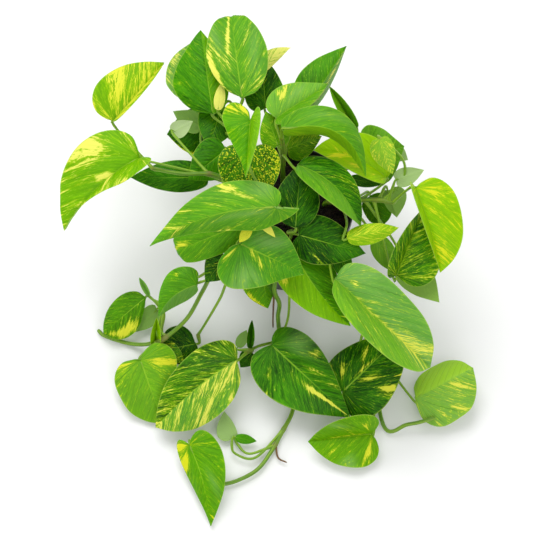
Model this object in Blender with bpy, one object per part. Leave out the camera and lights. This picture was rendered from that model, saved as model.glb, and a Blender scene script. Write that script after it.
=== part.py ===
# A potted golden pothos, Epipremnum aureum: a round nursery pot, potting soil, eight leafy stems and their leaves.
#
# Frame: metres, +Z up. The pot stands on z = 0 with its axis through x = 0, y = 0, and its longest stems trail
# onto the table towards -Y. Each blade, each stem with its petioles, the soil and the pot is a solid of its own.
# The dimensions below are in millimetres, and lengths are turned into metres where the meshes are made.

import math

import bmesh
import bpy
from mathutils import Vector

# Pot
POT_HEIGHT = 86.0
POT_BASE_RADIUS = 37.0
POT_WALL_RADIUS = 48.5
POT_RIM_RADIUS = 52.0
POT_RIM_HEIGHT = 13.0
POT_WALL = 1.4
POT_FLOOR = 1.6
POT_SEGMENTS = 32
DRAIN_HOLES = 6
DRAIN_RADIUS = 4.0
DRAIN_CIRCLE = 25.0

# Soil
SOIL_HEIGHT = 72.0
SOIL_GAP = 0.35
SOIL_HOLE_RADIUS = 2.6
SOIL_HOLE_FLOOR = 63.0

# Stems and petioles
STEM_RADIUS = 1.9
STEM_END_RADIUS = 1.5
STEM_STEP = 12.0
STEM_SIDES = 6
STEM_COLOUR = (0.16, 0.30, 0.04)
PETIOLE_RADIUS = 1.15
PETIOLE_END_RADIUS = 0.85
PETIOLE_STEP = 13.0
PETIOLE_SIDES = 5

# Blades
BLADE_THICKNESS = 0.8
BLADE_GAP = 0.35
BLADE_CUP = 24.0
BLADE_WAVE = 0.9
BLADE_COLOURS = {
    "fresh": (0.10, 0.32, 0.02),
    "dark": (0.045, 0.19, 0.015),
    "yellow": (0.36, 0.50, 0.05),
    "pale": (0.28, 0.42, 0.16),
}

# The plant is laid out as a viewer sees it who looks along +Y and down at VIEW_TILT degrees. A place is given as
# (across, up, height): millimetres right of the pot's axis and millimetres up, both on a sheet that faces the
# viewer, and the height above the table. The place is where the line from the viewer's eye through that point of
# the sheet has that height.
VIEW_TILT = 65.0
EYE_DISTANCE = 1400.0
SHEET_HEIGHT = 60.0
SHEET_CENTRE = (-17.2, -13.2)

ACROSS = Vector((1, 0, 0))
UP = Vector((0, math.sin(math.radians(VIEW_TILT)), math.cos(math.radians(VIEW_TILT))))
NEARER = ACROSS.cross(UP)
SHEET = NEARER * SHEET_HEIGHT * NEARER.z
EYE = SHEET + ACROSS * SHEET_CENTRE[0] + UP * SHEET_CENTRE[1] + NEARER * EYE_DISTANCE


def spot(across, up, height):
    point = SHEET + ACROSS * across + UP * up
    ray = point - EYE
    return EYE + ray * ((height - EYE.z) / ray.z)


# A blade's half outline, as (share of the width, share of the length, where its rib leaves the midrib), from the
# petiole to the tip: a heart with round lobes, and an egg shape without them. A blade's lobe says how far it goes
# from the egg (0) to the heart (1), its full how much of FULL widens it near the tip, and its halves how much wider
# or narrower than that its left and its right half are.
HEART = (
    (0.10, -0.06, 0.01),
    (0.27, -0.09, 0.03),
    (0.42, -0.01, 0.07),
    (0.50, 0.16, 0.14),
    (0.475, 0.37, 0.26),
    (0.35, 0.61, 0.44),
    (0.16, 0.83, 0.68),
)
EGG = (
    (0.12, 0.02, 0.02),
    (0.26, 0.06, 0.05),
    (0.38, 0.15, 0.10),
    (0.47, 0.28, 0.20),
    (0.50, 0.46, 0.34),
    (0.40, 0.68, 0.52),
    (0.20, 0.87, 0.74),
)
FULL = ((0.0, 0.0),) * 4 + ((0.01, 0.05), (0.08, 0.08), (0.10, 0.06))


# A stem: the places it grows through, from where it leaves the soil.
STEMS = {
    "left": ((-30, 36, 72), (-36, 46, 98), (-58, 60, 111), (-84, 61, 113), (-108, 65, 109)),
    "back_left": ((-18, 52, 72), (-24, 64, 98), (-36, 84, 112), (-46, 100, 115)),
    "back": ((-4, 52, 72), (-4, 66, 100), (-4, 80, 124), (-5, 90, 142)),
    "right": ((30, 36, 72), (44, 38, 90), (58, 40, 100), (74, 40, 106), (84, 38, 106)),
    "centre": ((-16, 30, 72), (-15, 32, 100), (-12, 33, 125), (-7, 34, 146)),
    "front_left": (
        (-21, 14, 72), (-40, 12, 93), (-52, 2, 94), (-62, -14, 82), (-64, -24, 62), (-70, -36, 38),
        (-81, -55, 27), (-98, -70, 26), (-110, -75, 14), (-126, -75, 5), (-146, -69, 4), (-152, -64, 4),
    ),
    "front": (
        (-2, 8, 72), (-4, -8, 92), (-11, -30, 72), (-7, -43, 50), (-8, -54, 34), (-6, -72, 12), (0, -100, 6),
        (4, -126, 6), (-5, -146, 5), (-14, -162, 5), (-25, -176, 5), (-42, -185, 5), (-58, -188, 5), (-66, -186, 5),
    ),
    "front_right": (
        (18, 14, 72), (38, 6, 91), (52, -20, 80), (58, -44, 50), (62, -64, 20), (66, -88, 8), (71, -112, 6),
        (74, -132, 6), (78, -143, 6), (84, -145, 6), (94, -140, 10), (104, -138, 16), (118, -134, 18),
    ),
}

# Side shoots and aerial roots: the stem, how far along it, the places grown through, and the two end radii.
SHOOTS = (
    ("back", 0.25, ((10, 58, 96), (30, 62, 99), (50, 66, 98), (60, 70, 97)), 1.6, 1.3),
    ("front_left", 0.04, (
        (-34, -6, 92), (-48, -24, 82), (-54, -38, 58), (-65, -57, 28), (-72, -68, 16),
    ), 1.3, 1.0),
    ("front_right", 0.04, ((8, 16, 90), (0, 14, 104)), 1.6, 1.3),
    ("front_left", 0.30, ((-66, -18, 76), (-72, -22, 74)), 1.2, 1.1),
    ("front", 0.765, ((-8, -166, 4), (-1, -170, 4)), 0.9, 0.6),
    ("front", 0.24, ((-12, -53, 34), (-12, -62, 26)), 0.9, 0.6),
    ("front", 0.45, ((-13, -74, 22), (-24, -77, 26), (-33, -82, 27)), 1.3, 1.1),
)


def leaf(name, stem, along, base, tip, width, left, right, **more):
    """A blade and its petiole. base and tip are places; left and right are the angles in degrees by which each
    half's margin rises towards the viewer, or falls if negative."""
    row = {"bend": 20.0, "sway": 0.0, "lobe": 0.8, "full": 0.0, "reach": 1.0, "face": 1, "young": False}
    row.update(halves=(1.0, 1.0), hook=0.0, via=(), bent=35.0, shoot=None, tint="fresh")
    row.update(name=name, stem=stem, along=along, base=base, tip=tip, width=width, left=left, right=right)
    row.update(more)
    return row


LEAVES = (
    leaf("leaf_top", "back_left", 1, (-37, 122, 140), (-45.2, 184, 154), 58, -10, 5, lobe=(-0.3, 0.1),
         full=(0, -0.05), halves=(0.8, 0.85), reach=0.8),
    leaf("leaf_top_left", "back_left", 0.9, (-60, 109, 122), (-70, 176, 138), 58, -15, -10,
         lobe=(-0.1, 0.2), full=(-0.25, 0), halves=(1, 0.55)),
    leaf("leaf_top_left_back", "back_left", 0.8, (-67, 106, 100), (-77.6, 165.6, 112), 56, -8, -10,
         lobe=(-0.9, 0.3), full=(0.1, 0), halves=(0.87, 0.7), tint="pale"),
    leaf("leaf_top_cream", "back_left", 0.95, (-28.8, 137.6, 124), (2, 162, 132), 20, 0, -20, sway=-2,
         lobe=0.2, halves=(0.85, 0.5), tint="pale"),
    leaf("leaf_top_dark", "back", 0.6, (-18, 114, 102), (-21, 156, 112), 32, 0, -10, tint="dark"),
    leaf("leaf_top_right", "back", 0.75, (14, 112, 126), (47, 163, 140), 44, -15, -72, lobe=0.4,
         halves=(0.92, 1)),
    leaf("leaf_back_right", "back", 0.9, (-9, 106, 146), (32, 133, 152), 40, -20, 62, halves=(1, 0.8)),
    leaf("leaf_back_folded", "back", 0.9, (54, 98, 130), (33, 131, 146), 22, 65, 65, lobe=0.3, shoot=0,
         tint="dark"),
    leaf("leaf_high_right", "back", 1, (-4, 96, 168), (62, 59, 142), 50, -38, -75, bend=40, sway=-18,
         lobe=0.4, halves=(0.82, 1)),
    leaf("leaf_right_yellow", "right", 0.65, (79, 58, 114), (20, 80, 124), 42, 58, -8, sway=6, lobe=0.3,
         tint="yellow"),
    leaf("leaf_high_front", "centre", 1, (-30, 104, 188), (-34, 58, 174), 46, 72, -10, lobe=(1.2, 2.6),
         halves=(1, 0.85), via=((-22, 50, 147), (-31, 68, 160), (-31, 86, 173)), bent=110),
    leaf("leaf_left_dark", "back_left", 0.7, (-60.8, 96, 79), (-96.8, 92.8, 83), 38, -5, -10, lobe=0.3,
         bent=5, tint="dark"),
    leaf("leaf_left_upper", "left", 1, (-140, 103, 127), (-99, 150, 145), 56, -15, 80, lobe=(0.8, 0),
         full=(0.3, 0), halves=(1.05, 0.6), tint="yellow"),
    leaf("leaf_left_large", "left", 0.5, (-119, 74, 124), (-179.2, 15.2, 102), 62, 58, -10, sway=6,
         lobe=(0.9, 0.6), full=(-1.6, 0), halves=(0.62, 1.12), tint="yellow"),
    leaf("leaf_left_low", "left", 0.4, (-64, 58, 94), (-126, 58, 96), 28, -10, -10, lobe=0.3,
         halves=(0.85, 1), tint="dark"),
    leaf("leaf_left_inner", "back_left", 0.45, (-50, 80, 108), (-80, 56, 103), 34, -10, -10, tint="dark"),
    leaf("leaf_mosaic", "back_left", 0.6, (-31.2, 80, 136), (-30.4, 28, 112), 48, -5, -5, lobe=1,
         tint="dark"),
    leaf("leaf_front_large", "centre", 1, (-9, 34, 158), (-110.8, 3.2, 140), 52, -50, -15, sway=8,
         lobe=(1.45, 0.55), full=(0, -0.3), halves=(0.95, 0.88), hook=(2.1, 0)),
    leaf("leaf_front_round", "centre", 0.5, (-38, 20, 112), (-85.6, 0.8, 104), 31, -10, -10, full=1,
         reach=0.8, tint="dark"),
    leaf("leaf_centre_front", "centre", 0.6, (-38, 5, 120), (13, -19, 106), 66, -10, -8, lobe=(0.3, 1.6),
         full=(-0.1, 0), halves=(0.72, 1)),
    leaf("leaf_front_dark", "front_left", 0.2, (-50, -6, 100), (-66, -26, 89), 24, -10, -10, tint="dark"),
    leaf("leaf_centre_upright", "front_right", 1, (6, 18, 118), (10, 69, 132), 34, -8, -8, lobe=0.1,
         shoot=2, tint="dark"),
    leaf("leaf_centre_right", "back", 0.7, (8, 68, 144), (58, 19, 126), 46, -32, 58, sway=-8, lobe=0.2,
         halves=(0.8, 1), tint="dark"),
    leaf("leaf_centre_flat", "front_right", 0.9, (9, 12, 112), (62, -3, 104), 38, -5, -10, shoot=2,
         tint="dark"),
    leaf("leaf_right_under", "front_right", 0.15, (40, 0, 101), (49.6, -29.6, 88), 16, -10, -10,
         tint="dark"),
    leaf("leaf_front_right", "front_right", 0.8, (2, 4, 98), (50, -61, 76), 52, -30, 0, sway=4,
         halves=(1, 0.84), shoot=2),
    leaf("leaf_right_band", "right", 0.4, (47.2, 9.6, 121), (88.8, 18, 121), 18, -30, -20, lobe=0.2,
         via=((47, 22, 119),), tint="yellow"),
    leaf("leaf_right_large", "front_right", 0.12, (38, -23, 110), (114, -94, 76), 62, -8, 55, lobe=(0.5, 0),
         full=(0.8, 0.6), halves=(0.9, 0.96)),
    leaf("leaf_right_mottled", "right", 0.8, (87, -20, 89), (109, 34, 107), 57, 58, -5, halves=(0.62, 1),
         tint="yellow"),
    leaf("leaf_far_right", "right", 1, (102, 50, 130), (122, -18, 104), 58, -12, 78, sway=-2, lobe=0.7,
         full=(0.6, 0), halves=(0.94, 0.7), tint="yellow"),
    leaf("leaf_right_young", "right", 0.9, (73.6, 88.8, 150), (84, 60.8, 134), 22, -20, -20, lobe=0.6,
         halves=(0.8, 1), via=((91, 54, 118), (92, 72, 134)), bent=60, tint="pale"),
    leaf("leaf_right_wavy", "back", 1, (62, 74, 103), (93, 83, 117), 48, -5, -10, shoot=0),
    leaf("leaf_right_olive", "right", 0.85, (80, 47.2, 98), (87, 26, 92), 26, 25, 5, halves=(0.5, 1),
         face=-1, tint="pale"),
    leaf("leaf_right_inner", "right", 0.25, (49.6, 56.8, 93), (76.8, 52.8, 85), 10, -10, -5, lobe=0.3,
         tint="dark"),
    leaf("leaf_right_round", "right", 0.35, (65.6, 43, 79), (76.5, 20, 73), 25, -10, -10, lobe=0.5,
         full=0.8, halves=(1, 0.8), via=((53, 41, 91),), bent=10, tint="dark"),
    leaf("leaf_right_back", "right", 0.5, (70, 10, 84), (87, -19, 78), 18, -10, -10, lobe=0.3),
    leaf("leaf_right_pale", "right", 0.7, (93, -10, 78), (121, -42, 72), 28, -10, -10, face=-1,
         via=((84, 8, 88),), tint="pale"),
    leaf("leaf_rim", "front", 0.17, (-21, -16, 80), (-16, -47, 58), 34, -50, 0, lobe=0.5, tint="dark"),
    leaf("leaf_trail_upper", "front_left", 0.4, (-73, -28, 60), (-104, -54, 42), 38, -55, -20, sway=5,
         lobe=(0.3, 0.8), full=(0, -0.45), halves=(0.85, 1), shoot=1),
    leaf("leaf_trail_far_left", "front_left", 0.73, (-114, -38, 26), (-148, -66.4, 13), 36, -5, -30,
         lobe=(-0.8, 0.2), full=(0.5, 0.3), halves=(0.85, 0.92), via=((-105, -66, 24), (-102, -49, 25))),
    leaf("leaf_trail_pale", "front_left", 0.72, (-105, -48, 14), (-124, -66, 9), 16, -10, -10, face=-1,
         tint="pale", via=((-101, -64, 21), (-99, -52, 18))),
    leaf("leaf_trail_dark", "front_left", 1, (-74, -75, 12), (-102.4, -80.8, 10), 35, -10, -10,
         lobe=(0.8, 0.1), full=(0, 0.6), shoot=1, tint="dark"),
    leaf("leaf_trail_heart", "front_left", 0.75, (-118, -88, 24), (-100, -139.2, 6), 54, -10, -10,
         lobe=(1.6, 0.8), full=(0, 0.7), halves=(1, 0.96)),
    leaf("leaf_trail_long", "front", 1, (-41, -88, 38), (-106, -142, 16), 58, -5, -20, sway=3,
         lobe=(0, 0.8), full=(0.5, 0.35), halves=(0.93, 0.9), shoot=6),
    leaf("leaf_trail_centre", "front", 0.12, (-13, -76, 44), (50, -134, 22), 63, -38, 0, lobe=(1, 0.8),
         via=((0, -15, 88), (1, -38, 66), (0, -54, 38), (-4, -66, 26)), bent=90, tint="dark"),
    leaf("leaf_trail_mottled", "front_right", 0.5, (44, -113, 22), (99, -60, 42), 62, -38, 0, lobe=1.2,
         bent=80, tint="dark"),
    leaf("leaf_trail_low", "front_right", 0.65, (67, -147, 16), (16, -153, 14), 50, 0, 52, lobe=0.95,
         full=(0.4, 0.2)),
    leaf("leaf_trail_far_right", "front_right", 0.55, (102, -118, 20), (148, -94, 30), 60, -50, -5,
         lobe=(0.2, 0.8), full=1, halves=(0.79, 1.03)),
    leaf("leaf_trail_tip", "front", 1, (-79, -156, 24), (-62, -221, 5), 44, 0, -43, sway=-3,
         lobe=(1.1, 1.3), halves=(0.97, 0.68)),
    leaf("cream", "back_left", 0.9, (-56, 112, 128), (-52.8, 134.4, 136), 9, -10, -10, lobe=0.2, young=True),
    leaf("spike", "centre", 0.85, (-26, 28, 135), (-10, 10, 129), 7, -10, -10, lobe=0.1, young=True),
    leaf("sheath", "centre", 0.8, (-30, 18, 130), (-39, 6, 127), 8, -10, -10, lobe=0.1, young=True),
    leaf("thin", "front_left", 0.71, (-111, -37, 32), (-119, -22, 36), 8, 55, 55, lobe=0.1, young=True,
         via=((-102, -64, 27), (-100, -46, 29))),
    leaf("pale_tip", "back", 1, (83, 80, 107), (96, 72, 104), 14, -10, -10, face=-1, young=True, shoot=0),
    leaf("upright", "front", 0.9, (-30.4, -78.4, 27), (-28.8, -56, 40), 12, 60, 60, lobe=0.1, young=True,
         shoot=6),
    leaf("upright_pale", "front", 0.9, (-40, -78, 20), (-33, -64, 27), 9, -10, -10, lobe=0.1, face=-1,
         young=True, shoot=6),
    leaf("small_low", "front", 0.9, (-29, -82, 20), (-38, -94, 14), 14, -10, -10, lobe=0.3, young=True,
         shoot=6),
    leaf("node_leaf", "front", 0.72, (-42, -150, 10), (-25, -153, 6), 8, -10, -10, lobe=0.2, young=True,
         via=((-26, -166, 6), (-42, -163, 7), (-45, -156, 9))),
    leaf("node_pale", "front", 0.77, (-43.2, -149.6, 6), (-51.2, -128.8, 12), 20, -10, -10,
         halves=(0.4, 1.2), face=-1, young=True, via=((-31, -163, 6), (-40, -156, 5))),
    leaf("left_pale", "left", 0.6, (-91.2, 94.4, 118), (-76, 103.2, 122), 14, -10, -10, lobe=1, face=-1,
         young=True),
    leaf("trail_folded", "front_left", 0.74, (-106, -74, 15), (-105, -54, 32), 20, 65, 65, lobe=0.2,
         young=True),
    leaf("trail_small", "front_left", 0.78, (-102, -76, 17.5), (-83, -90, 15), 16, -10, -10, lobe=0.4,
         young=True),
    leaf("right_pale", "right", 0.95, (87, 56, 122), (109, 64, 128), 15, -10, -10, face=-1, young=True),
    leaf("inner_right", "back", 0.5, (0, 81, 113), (27, 91, 119), 24, -10, -10, young=True),
    leaf("inner_back", "back", 0.8, (-8, 84, 130), (-18, 111, 139), 23, -10, -10, young=True),
    leaf("left_grey", "back_left", 0.5, (-70, 99, 90), (-92, 111, 92), 18, -10, -10, face=-1, young=True,
         via=((-66, 80, 93),)),
    leaf("left_green", "back_left", 0.75, (-53, 114, 110), (-64, 80, 104), 32, -10, -10, young=True,
         via=((-42, 110, 114), (-47, 119, 113)), bent=10),
)
def smooth(points, step):
    """Points about step apart on a smooth curve through the given ones."""
    ends = [points[0] * 2 - points[1]] + list(points) + [points[-1] * 2 - points[-2]]
    out = []
    for i in range(1, len(ends) - 2):
        a, b, c, d = ends[i - 1 : i + 3]
        count = max(1, round((c - b).length / step))
        for k in range(count):
            t = k / count
            out.append(
                0.5 * (2 * b + (c - a) * t + (2 * a - 5 * b + 4 * c - d) * t * t + (3 * b - a - 3 * c + d) * t ** 3)
            )
    out.append(ends[-2].copy())
    return out


def at_share(points, share):
    """The point at a share of a polyline's length."""
    lengths = [(b - a).length for a, b in zip(points, points[1:])]
    left = max(0.0, min(1.0, share)) * sum(lengths)
    for i, length in enumerate(lengths):
        if left <= length or i == len(lengths) - 1:
            step = points[i + 1] - points[i]
            return points[i] + step * min(1.0, left / length)
        left -= length
    return points[-1]


def tube(points, first, last, sides):
    """A closed round tube along the points, from one radius to the other: (vertices, faces)."""
    vertices, faces = [], []
    ahead = (points[1] - points[0]).normalized()
    across = ahead.orthogonal().normalized()
    for i, point in enumerate(points):
        before = points[max(0, i - 1)]
        after = points[min(len(points) - 1, i + 1)]
        direction = (after - before).normalized()
        across = (across - direction * across.dot(direction)).normalized()
        other = direction.cross(across)
        radius = first + (last - first) * i / (len(points) - 1)
        for k in range(sides):
            turn = 2 * math.pi * k / sides
            vertices.append(point + (across * math.cos(turn) + other * math.sin(turn)) * radius)
    for i in range(len(points) - 1):
        for k in range(sides):
            a = i * sides + k
            b = i * sides + (k + 1) % sides
            faces.append((a, b, b + sides, a + sides))
    faces.append(tuple(reversed(range(sides))))
    faces.append(tuple(range(len(vertices) - sides, len(vertices))))
    return vertices, faces


def blade_frame(row):
    """A function from a share of the blade's length to (point, ahead, across, outward) on its midrib."""
    base, tip = spot(*row["base"]), spot(*row["tip"])
    chord = tip - base
    ahead = chord.normalized()
    facing = EYE - (base + tip) / 2
    facing = (facing - ahead * facing.dot(ahead)).normalized() * row["face"]
    across = ahead.cross(facing)
    reach, bend = row["reach"], math.radians(row["bend"])

    def angle(t):
        past = max(0.0, t - reach) / (1.001 - reach)
        return bend * (0.5 - t / reach) - past * math.radians(130)

    steps = 60
    run, rise, table = 0.0, 0.0, {0: (0.0, 0.0)}
    for k in range(steps):
        run += math.cos(angle((k + 0.5) / steps)) / steps
        rise += math.sin(angle((k + 0.5) / steps)) / steps
        table[k + 1] = (run, rise)
    scale = chord.length / table[round(reach * steps)][0]

    def frame(t):
        if t <= 0:
            run, rise = t * math.cos(angle(t / 2)), t * math.sin(angle(t / 2))
        else:
            k = min(steps - 1, int(t * steps))
            part = t * steps - k
            run = table[k][0] + (table[k + 1][0] - table[k][0]) * part
            rise = table[k][1] + (table[k + 1][1] - table[k][1]) * part
        share = t / reach
        aside = 4 * row["sway"] * share * (1 - share)
        slope = 4 * row["sway"] * (1 - 2 * share) / (reach * scale)
        point = base + ahead * run * scale + facing * rise * scale + across * aside
        turn = angle(t)
        forward = (ahead * math.cos(turn) + facing * math.sin(turn) + across * slope).normalized()
        outward = facing * math.cos(turn) - ahead * math.sin(turn)
        outward = (outward - forward * outward.dot(forward)).normalized()
        return point, forward, forward.cross(outward), outward, scale

    return frame


def blade_point(row, frame, side, x, y, start, q, wave):
    """A point on a blade's upper face: side is 1 on the right half and -1 on the left, (x, y) is the rib's end on
    the margin and start its place on the midrib, q the share of the way from the midrib to the margin."""
    t = start + (y - start) * q
    point, forward, across, outward, scale = frame(t)
    angle = math.radians((row["right"] if side > 0 else row["left"]) + BLADE_CUP / 2 * (1 - q))
    reach = x * row["width"] * q
    ripple = BLADE_WAVE * wave * q * q * math.sin(11.0 * y + 1.7 * side + 0.11 * row["width"])
    return point + across * side * reach * math.cos(angle) + outward * (reach * math.sin(angle) + ripple)


def outline(row, half):
    """One half's outline; a value given as a pair is for the left and the right half."""
    lobe, full, hook = (
        value[half] if isinstance(value, tuple) else value for value in (row["lobe"], row["full"], row["hook"])
    )
    out = []
    for (x0, y0, m0), (x1, y1, m1), (dx, dy) in zip(EGG, HEART, FULL):
        y = y0 + (y1 - y0) * lobe + dy * full
        x = (x0 + (x1 - x0) * lobe + dx * full) * row["halves"][half] + hook * min(0.0, y)
        out.append((max(0.004, x), y, m0 + (m1 - m0) * 0.5))
    return out


def blade(row, shares):
    """A blade as a closed solid: (vertices, faces). Both faces carry the same triangles."""
    frame = blade_frame(row)
    outlines = {-1: outline(row, 0), 1: outline(row, 1)}
    wave = row["width"] / 50
    top = [frame(0)[0]]
    rows = []
    for number in range(len(EGG)):
        middle = len(top)
        top.append(blade_point(row, frame, 1, *outlines[1][number], 0, wave))
        sides = {1: [middle], -1: [middle]}
        for side in (1, -1):
            x, y, start = outlines[side][number]
            for q in shares:
                sides[side].append(len(top))
                top.append(blade_point(row, frame, side, x, y, start, q, wave))
        rows.append(sides)
    end = len(top)
    top.append(frame(1)[0])
    faces = []

    def add(a, b, c, side):
        faces.append((a, b, c) if side > 0 else (a, c, b))

    for side in (1, -1):
        for j in range(len(shares)):
            add(0, rows[0][side][j + 1], rows[0][side][j], side)
            add(end, rows[-1][side][j], rows[-1][side][j + 1], side)
        for low, high in zip(rows, rows[1:]):
            for j in range(len(shares)):
                a, b, c, d = low[side][j], low[side][j + 1], high[side][j + 1], high[side][j]
                add(a, b, c, side)
                add(a, c, d, side)
    normals = [Vector() for _ in top]
    for a, b, c in faces:
        normal = (top[b] - top[a]).cross(top[c] - top[a])
        for corner in (a, b, c):
            normals[corner] += normal
    count = len(top)
    bottom = [point - normal.normalized() * BLADE_THICKNESS for point, normal in zip(top, normals)]
    margin = [0] + [r[1][-1] for r in rows] + [end] + [r[-1][-1] for r in reversed(rows)]
    solid = list(faces) + [(a + count, c + count, b + count) for a, b, c in faces]
    for a, b in zip(margin, margin[1:] + margin[:1]):
        solid.append((b, a, a + count))
        solid.append((b, a + count, b + count))
    return top + bottom, solid


def petiole(row, stem):
    """The petiole from its stem to just under the blade."""
    start = at_share(stem, row["along"])
    point, forward, across, outward, _ = blade_frame(row)(0.04)
    roll = math.radians((row["left"] - row["right"]) / 2)
    fall = math.radians(max(0.0, -(row["left"] + row["right"]) / 2 - BLADE_CUP / 4))
    below = -(outward * math.cos(roll) + across * math.sin(roll))
    bent = math.radians(row["bent"])
    if row["young"]:
        end = point + below * 0.4
    else:
        round_end = PETIOLE_END_RADIUS * min(1.0, 0.5 + math.cos(bent))
        end = point + below * (BLADE_THICKNESS + (BLADE_GAP + round_end) / max(0.35, math.cos(fall)))
    behind = end + (below * math.sin(bent) - forward * math.cos(bent)) * (3 if row["young"] else 6)
    via = [spot(*place) for place in row["via"]]
    points = smooth([start] + via + [behind, end], PETIOLE_STEP)
    return tube(points, PETIOLE_RADIUS, PETIOLE_END_RADIUS, PETIOLE_SIDES)


def rounded(mesh):
    """Shades the mesh smooth, but for its sharp edges."""
    mesh.shade_smooth()
    mesh.set_sharp_from_angle(angle=math.radians(50))


def make(name, vertices, faces, material=None):
    """An object from vertices in millimetres."""
    mesh = bpy.data.meshes.new(name)
    mesh.from_pydata([v * 0.001 for v in vertices], [], faces)
    mesh.update()
    rounded(mesh)
    thing = bpy.data.objects.new(name, mesh)
    bpy.context.scene.collection.objects.link(thing)
    if material:
        mesh.materials.append(material)
    return thing


def drop_crumbs(mesh):
    """Removes the specks of a few faces that a union can leave beside the body."""
    work = bmesh.new()
    work.from_mesh(mesh)
    unseen = set(work.faces)
    specks = []
    while unseen:
        island = [unseen.pop()]
        for face in island:
            for edge in face.edges:
                for other in edge.link_faces:
                    if len(edge.link_faces) == 2 and other in unseen:
                        unseen.remove(other)
                        island.append(other)
        if len(island) < 12:
            specks += island
    bmesh.ops.delete(work, geom=specks, context="FACES")
    work.to_mesh(mesh)
    work.free()


def combine(target, others, operation):
    """Joins the others to the target, or cuts them from it, and removes them."""
    group = bpy.data.collections.new("others")
    bpy.context.scene.collection.children.link(group)
    for thing in others:
        bpy.context.scene.collection.objects.unlink(thing)
        group.objects.link(thing)
    modifier = target.modifiers.new("combine", "BOOLEAN")
    modifier.operation = operation
    modifier.operand_type = "COLLECTION"
    modifier.collection = group
    modifier.solver = "EXACT"
    graph = bpy.context.evaluated_depsgraph_get()
    mesh = bpy.data.meshes.new_from_object(target.evaluated_get(graph))
    target.modifiers.clear()
    drop_crumbs(mesh)
    rounded(mesh)
    target.data = mesh
    for thing in others:
        bpy.data.objects.remove(thing)
    bpy.data.collections.remove(group)


def material(name, colour, roughness):
    made = bpy.data.materials.new(name)
    made.use_nodes = True
    shader = made.node_tree.nodes["Principled BSDF"]
    shader.inputs["Base Color"].default_value = (*colour, 1)
    shader.inputs["Roughness"].default_value = roughness
    shader.inputs["Metallic"].default_value = 0
    return made


def revolve(profile, segments):
    """A solid of revolution about the pot's axis. The profile runs from the axis below to the axis above."""
    vertices, rings, faces = [], [], []
    for radius, height in profile:
        if radius == 0:
            rings.append([len(vertices)] * segments)
            vertices.append(Vector((0, 0, height)))
            continue
        rings.append(list(range(len(vertices), len(vertices) + segments)))
        for k in range(segments):
            turn = 2 * math.pi * k / segments
            vertices.append(Vector((radius * math.cos(turn), radius * math.sin(turn), height)))
    for low, high in zip(rings, rings[1:]):
        for k in range(segments):
            n = (k + 1) % segments
            corners = []
            for corner in (low[k], low[n], high[n], high[k]):
                if corner not in corners:
                    corners.append(corner)
            faces.append(tuple(corners))
    return vertices, faces


def upright(x, y, radius, low, high, sides):
    return tube([Vector((x, y, low)), Vector((x, y, high))], radius, radius, sides)


for old in list(bpy.data.objects):
    bpy.data.objects.remove(old)

# Pot: a tapered wall with a wider rim band and a flat floor with drain holes.
rim_low = POT_HEIGHT - POT_RIM_HEIGHT
outside = [
    (0, 0),
    (POT_BASE_RADIUS - 2, 0),
    (POT_BASE_RADIUS, 2),
    (POT_WALL_RADIUS, rim_low),
    (POT_RIM_RADIUS - 1.2, rim_low),
    (POT_RIM_RADIUS - 0.6, rim_low + 1),
    (POT_RIM_RADIUS, POT_HEIGHT - 1),
    (POT_RIM_RADIUS - 0.6, POT_HEIGHT),
    (POT_RIM_RADIUS - 1.6, POT_HEIGHT),
]
inside = [
    (POT_RIM_RADIUS - 2.1, rim_low + 2.2),
    (POT_WALL_RADIUS - POT_WALL, rim_low - 1.5),
    (POT_BASE_RADIUS - POT_WALL, POT_FLOOR + 1.5),
    (POT_BASE_RADIUS - POT_WALL - 1.5, POT_FLOOR),
    (0, POT_FLOOR),
]
plastic = material("black plastic", (0.012, 0.012, 0.013), 0.42)
pot = make("pot", *revolve(outside + inside, POT_SEGMENTS), plastic)
cutters = []
for k in range(DRAIN_HOLES):
    turn = 2 * math.pi * (k + 0.5) / DRAIN_HOLES
    x, y = DRAIN_CIRCLE * math.cos(turn), DRAIN_CIRCLE * math.sin(turn)
    cutters.append(make("cutter", *upright(x, y, DRAIN_RADIUS, -2, POT_FLOOR + 2, 12)))
combine(pot, cutters, "DIFFERENCE")

# Soil: it fills the pot to below the rim, with a low mound and a plain hole for each stem.
low_radius = POT_BASE_RADIUS - POT_WALL - 1.5 - SOIL_GAP
high_radius = POT_WALL_RADIUS - POT_WALL - SOIL_GAP
shoulder = rim_low - 1.5
slope = (high_radius - low_radius - 1.0) / (shoulder - POT_FLOOR - 2)
body = [
    (0, POT_FLOOR + SOIL_GAP),
    (low_radius - 0.3, POT_FLOOR + SOIL_GAP),
    (low_radius + 0.9, POT_FLOOR + SOIL_GAP + 2),
    (high_radius - slope * (shoulder - SOIL_HEIGHT + 3) - 0.6, SOIL_HEIGHT - 3.2),
    (high_radius * 0.93, SOIL_HEIGHT - 1.6),
    (high_radius * 0.72, SOIL_HEIGHT - 0.5),
    (high_radius * 0.45, SOIL_HEIGHT + 0.6),
    (0, SOIL_HEIGHT + 1.0),
]
peat = material("potting soil", (0.02, 0.014, 0.009), 0.95)
soil = make("soil", *revolve(body, POT_SEGMENTS), peat)

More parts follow.
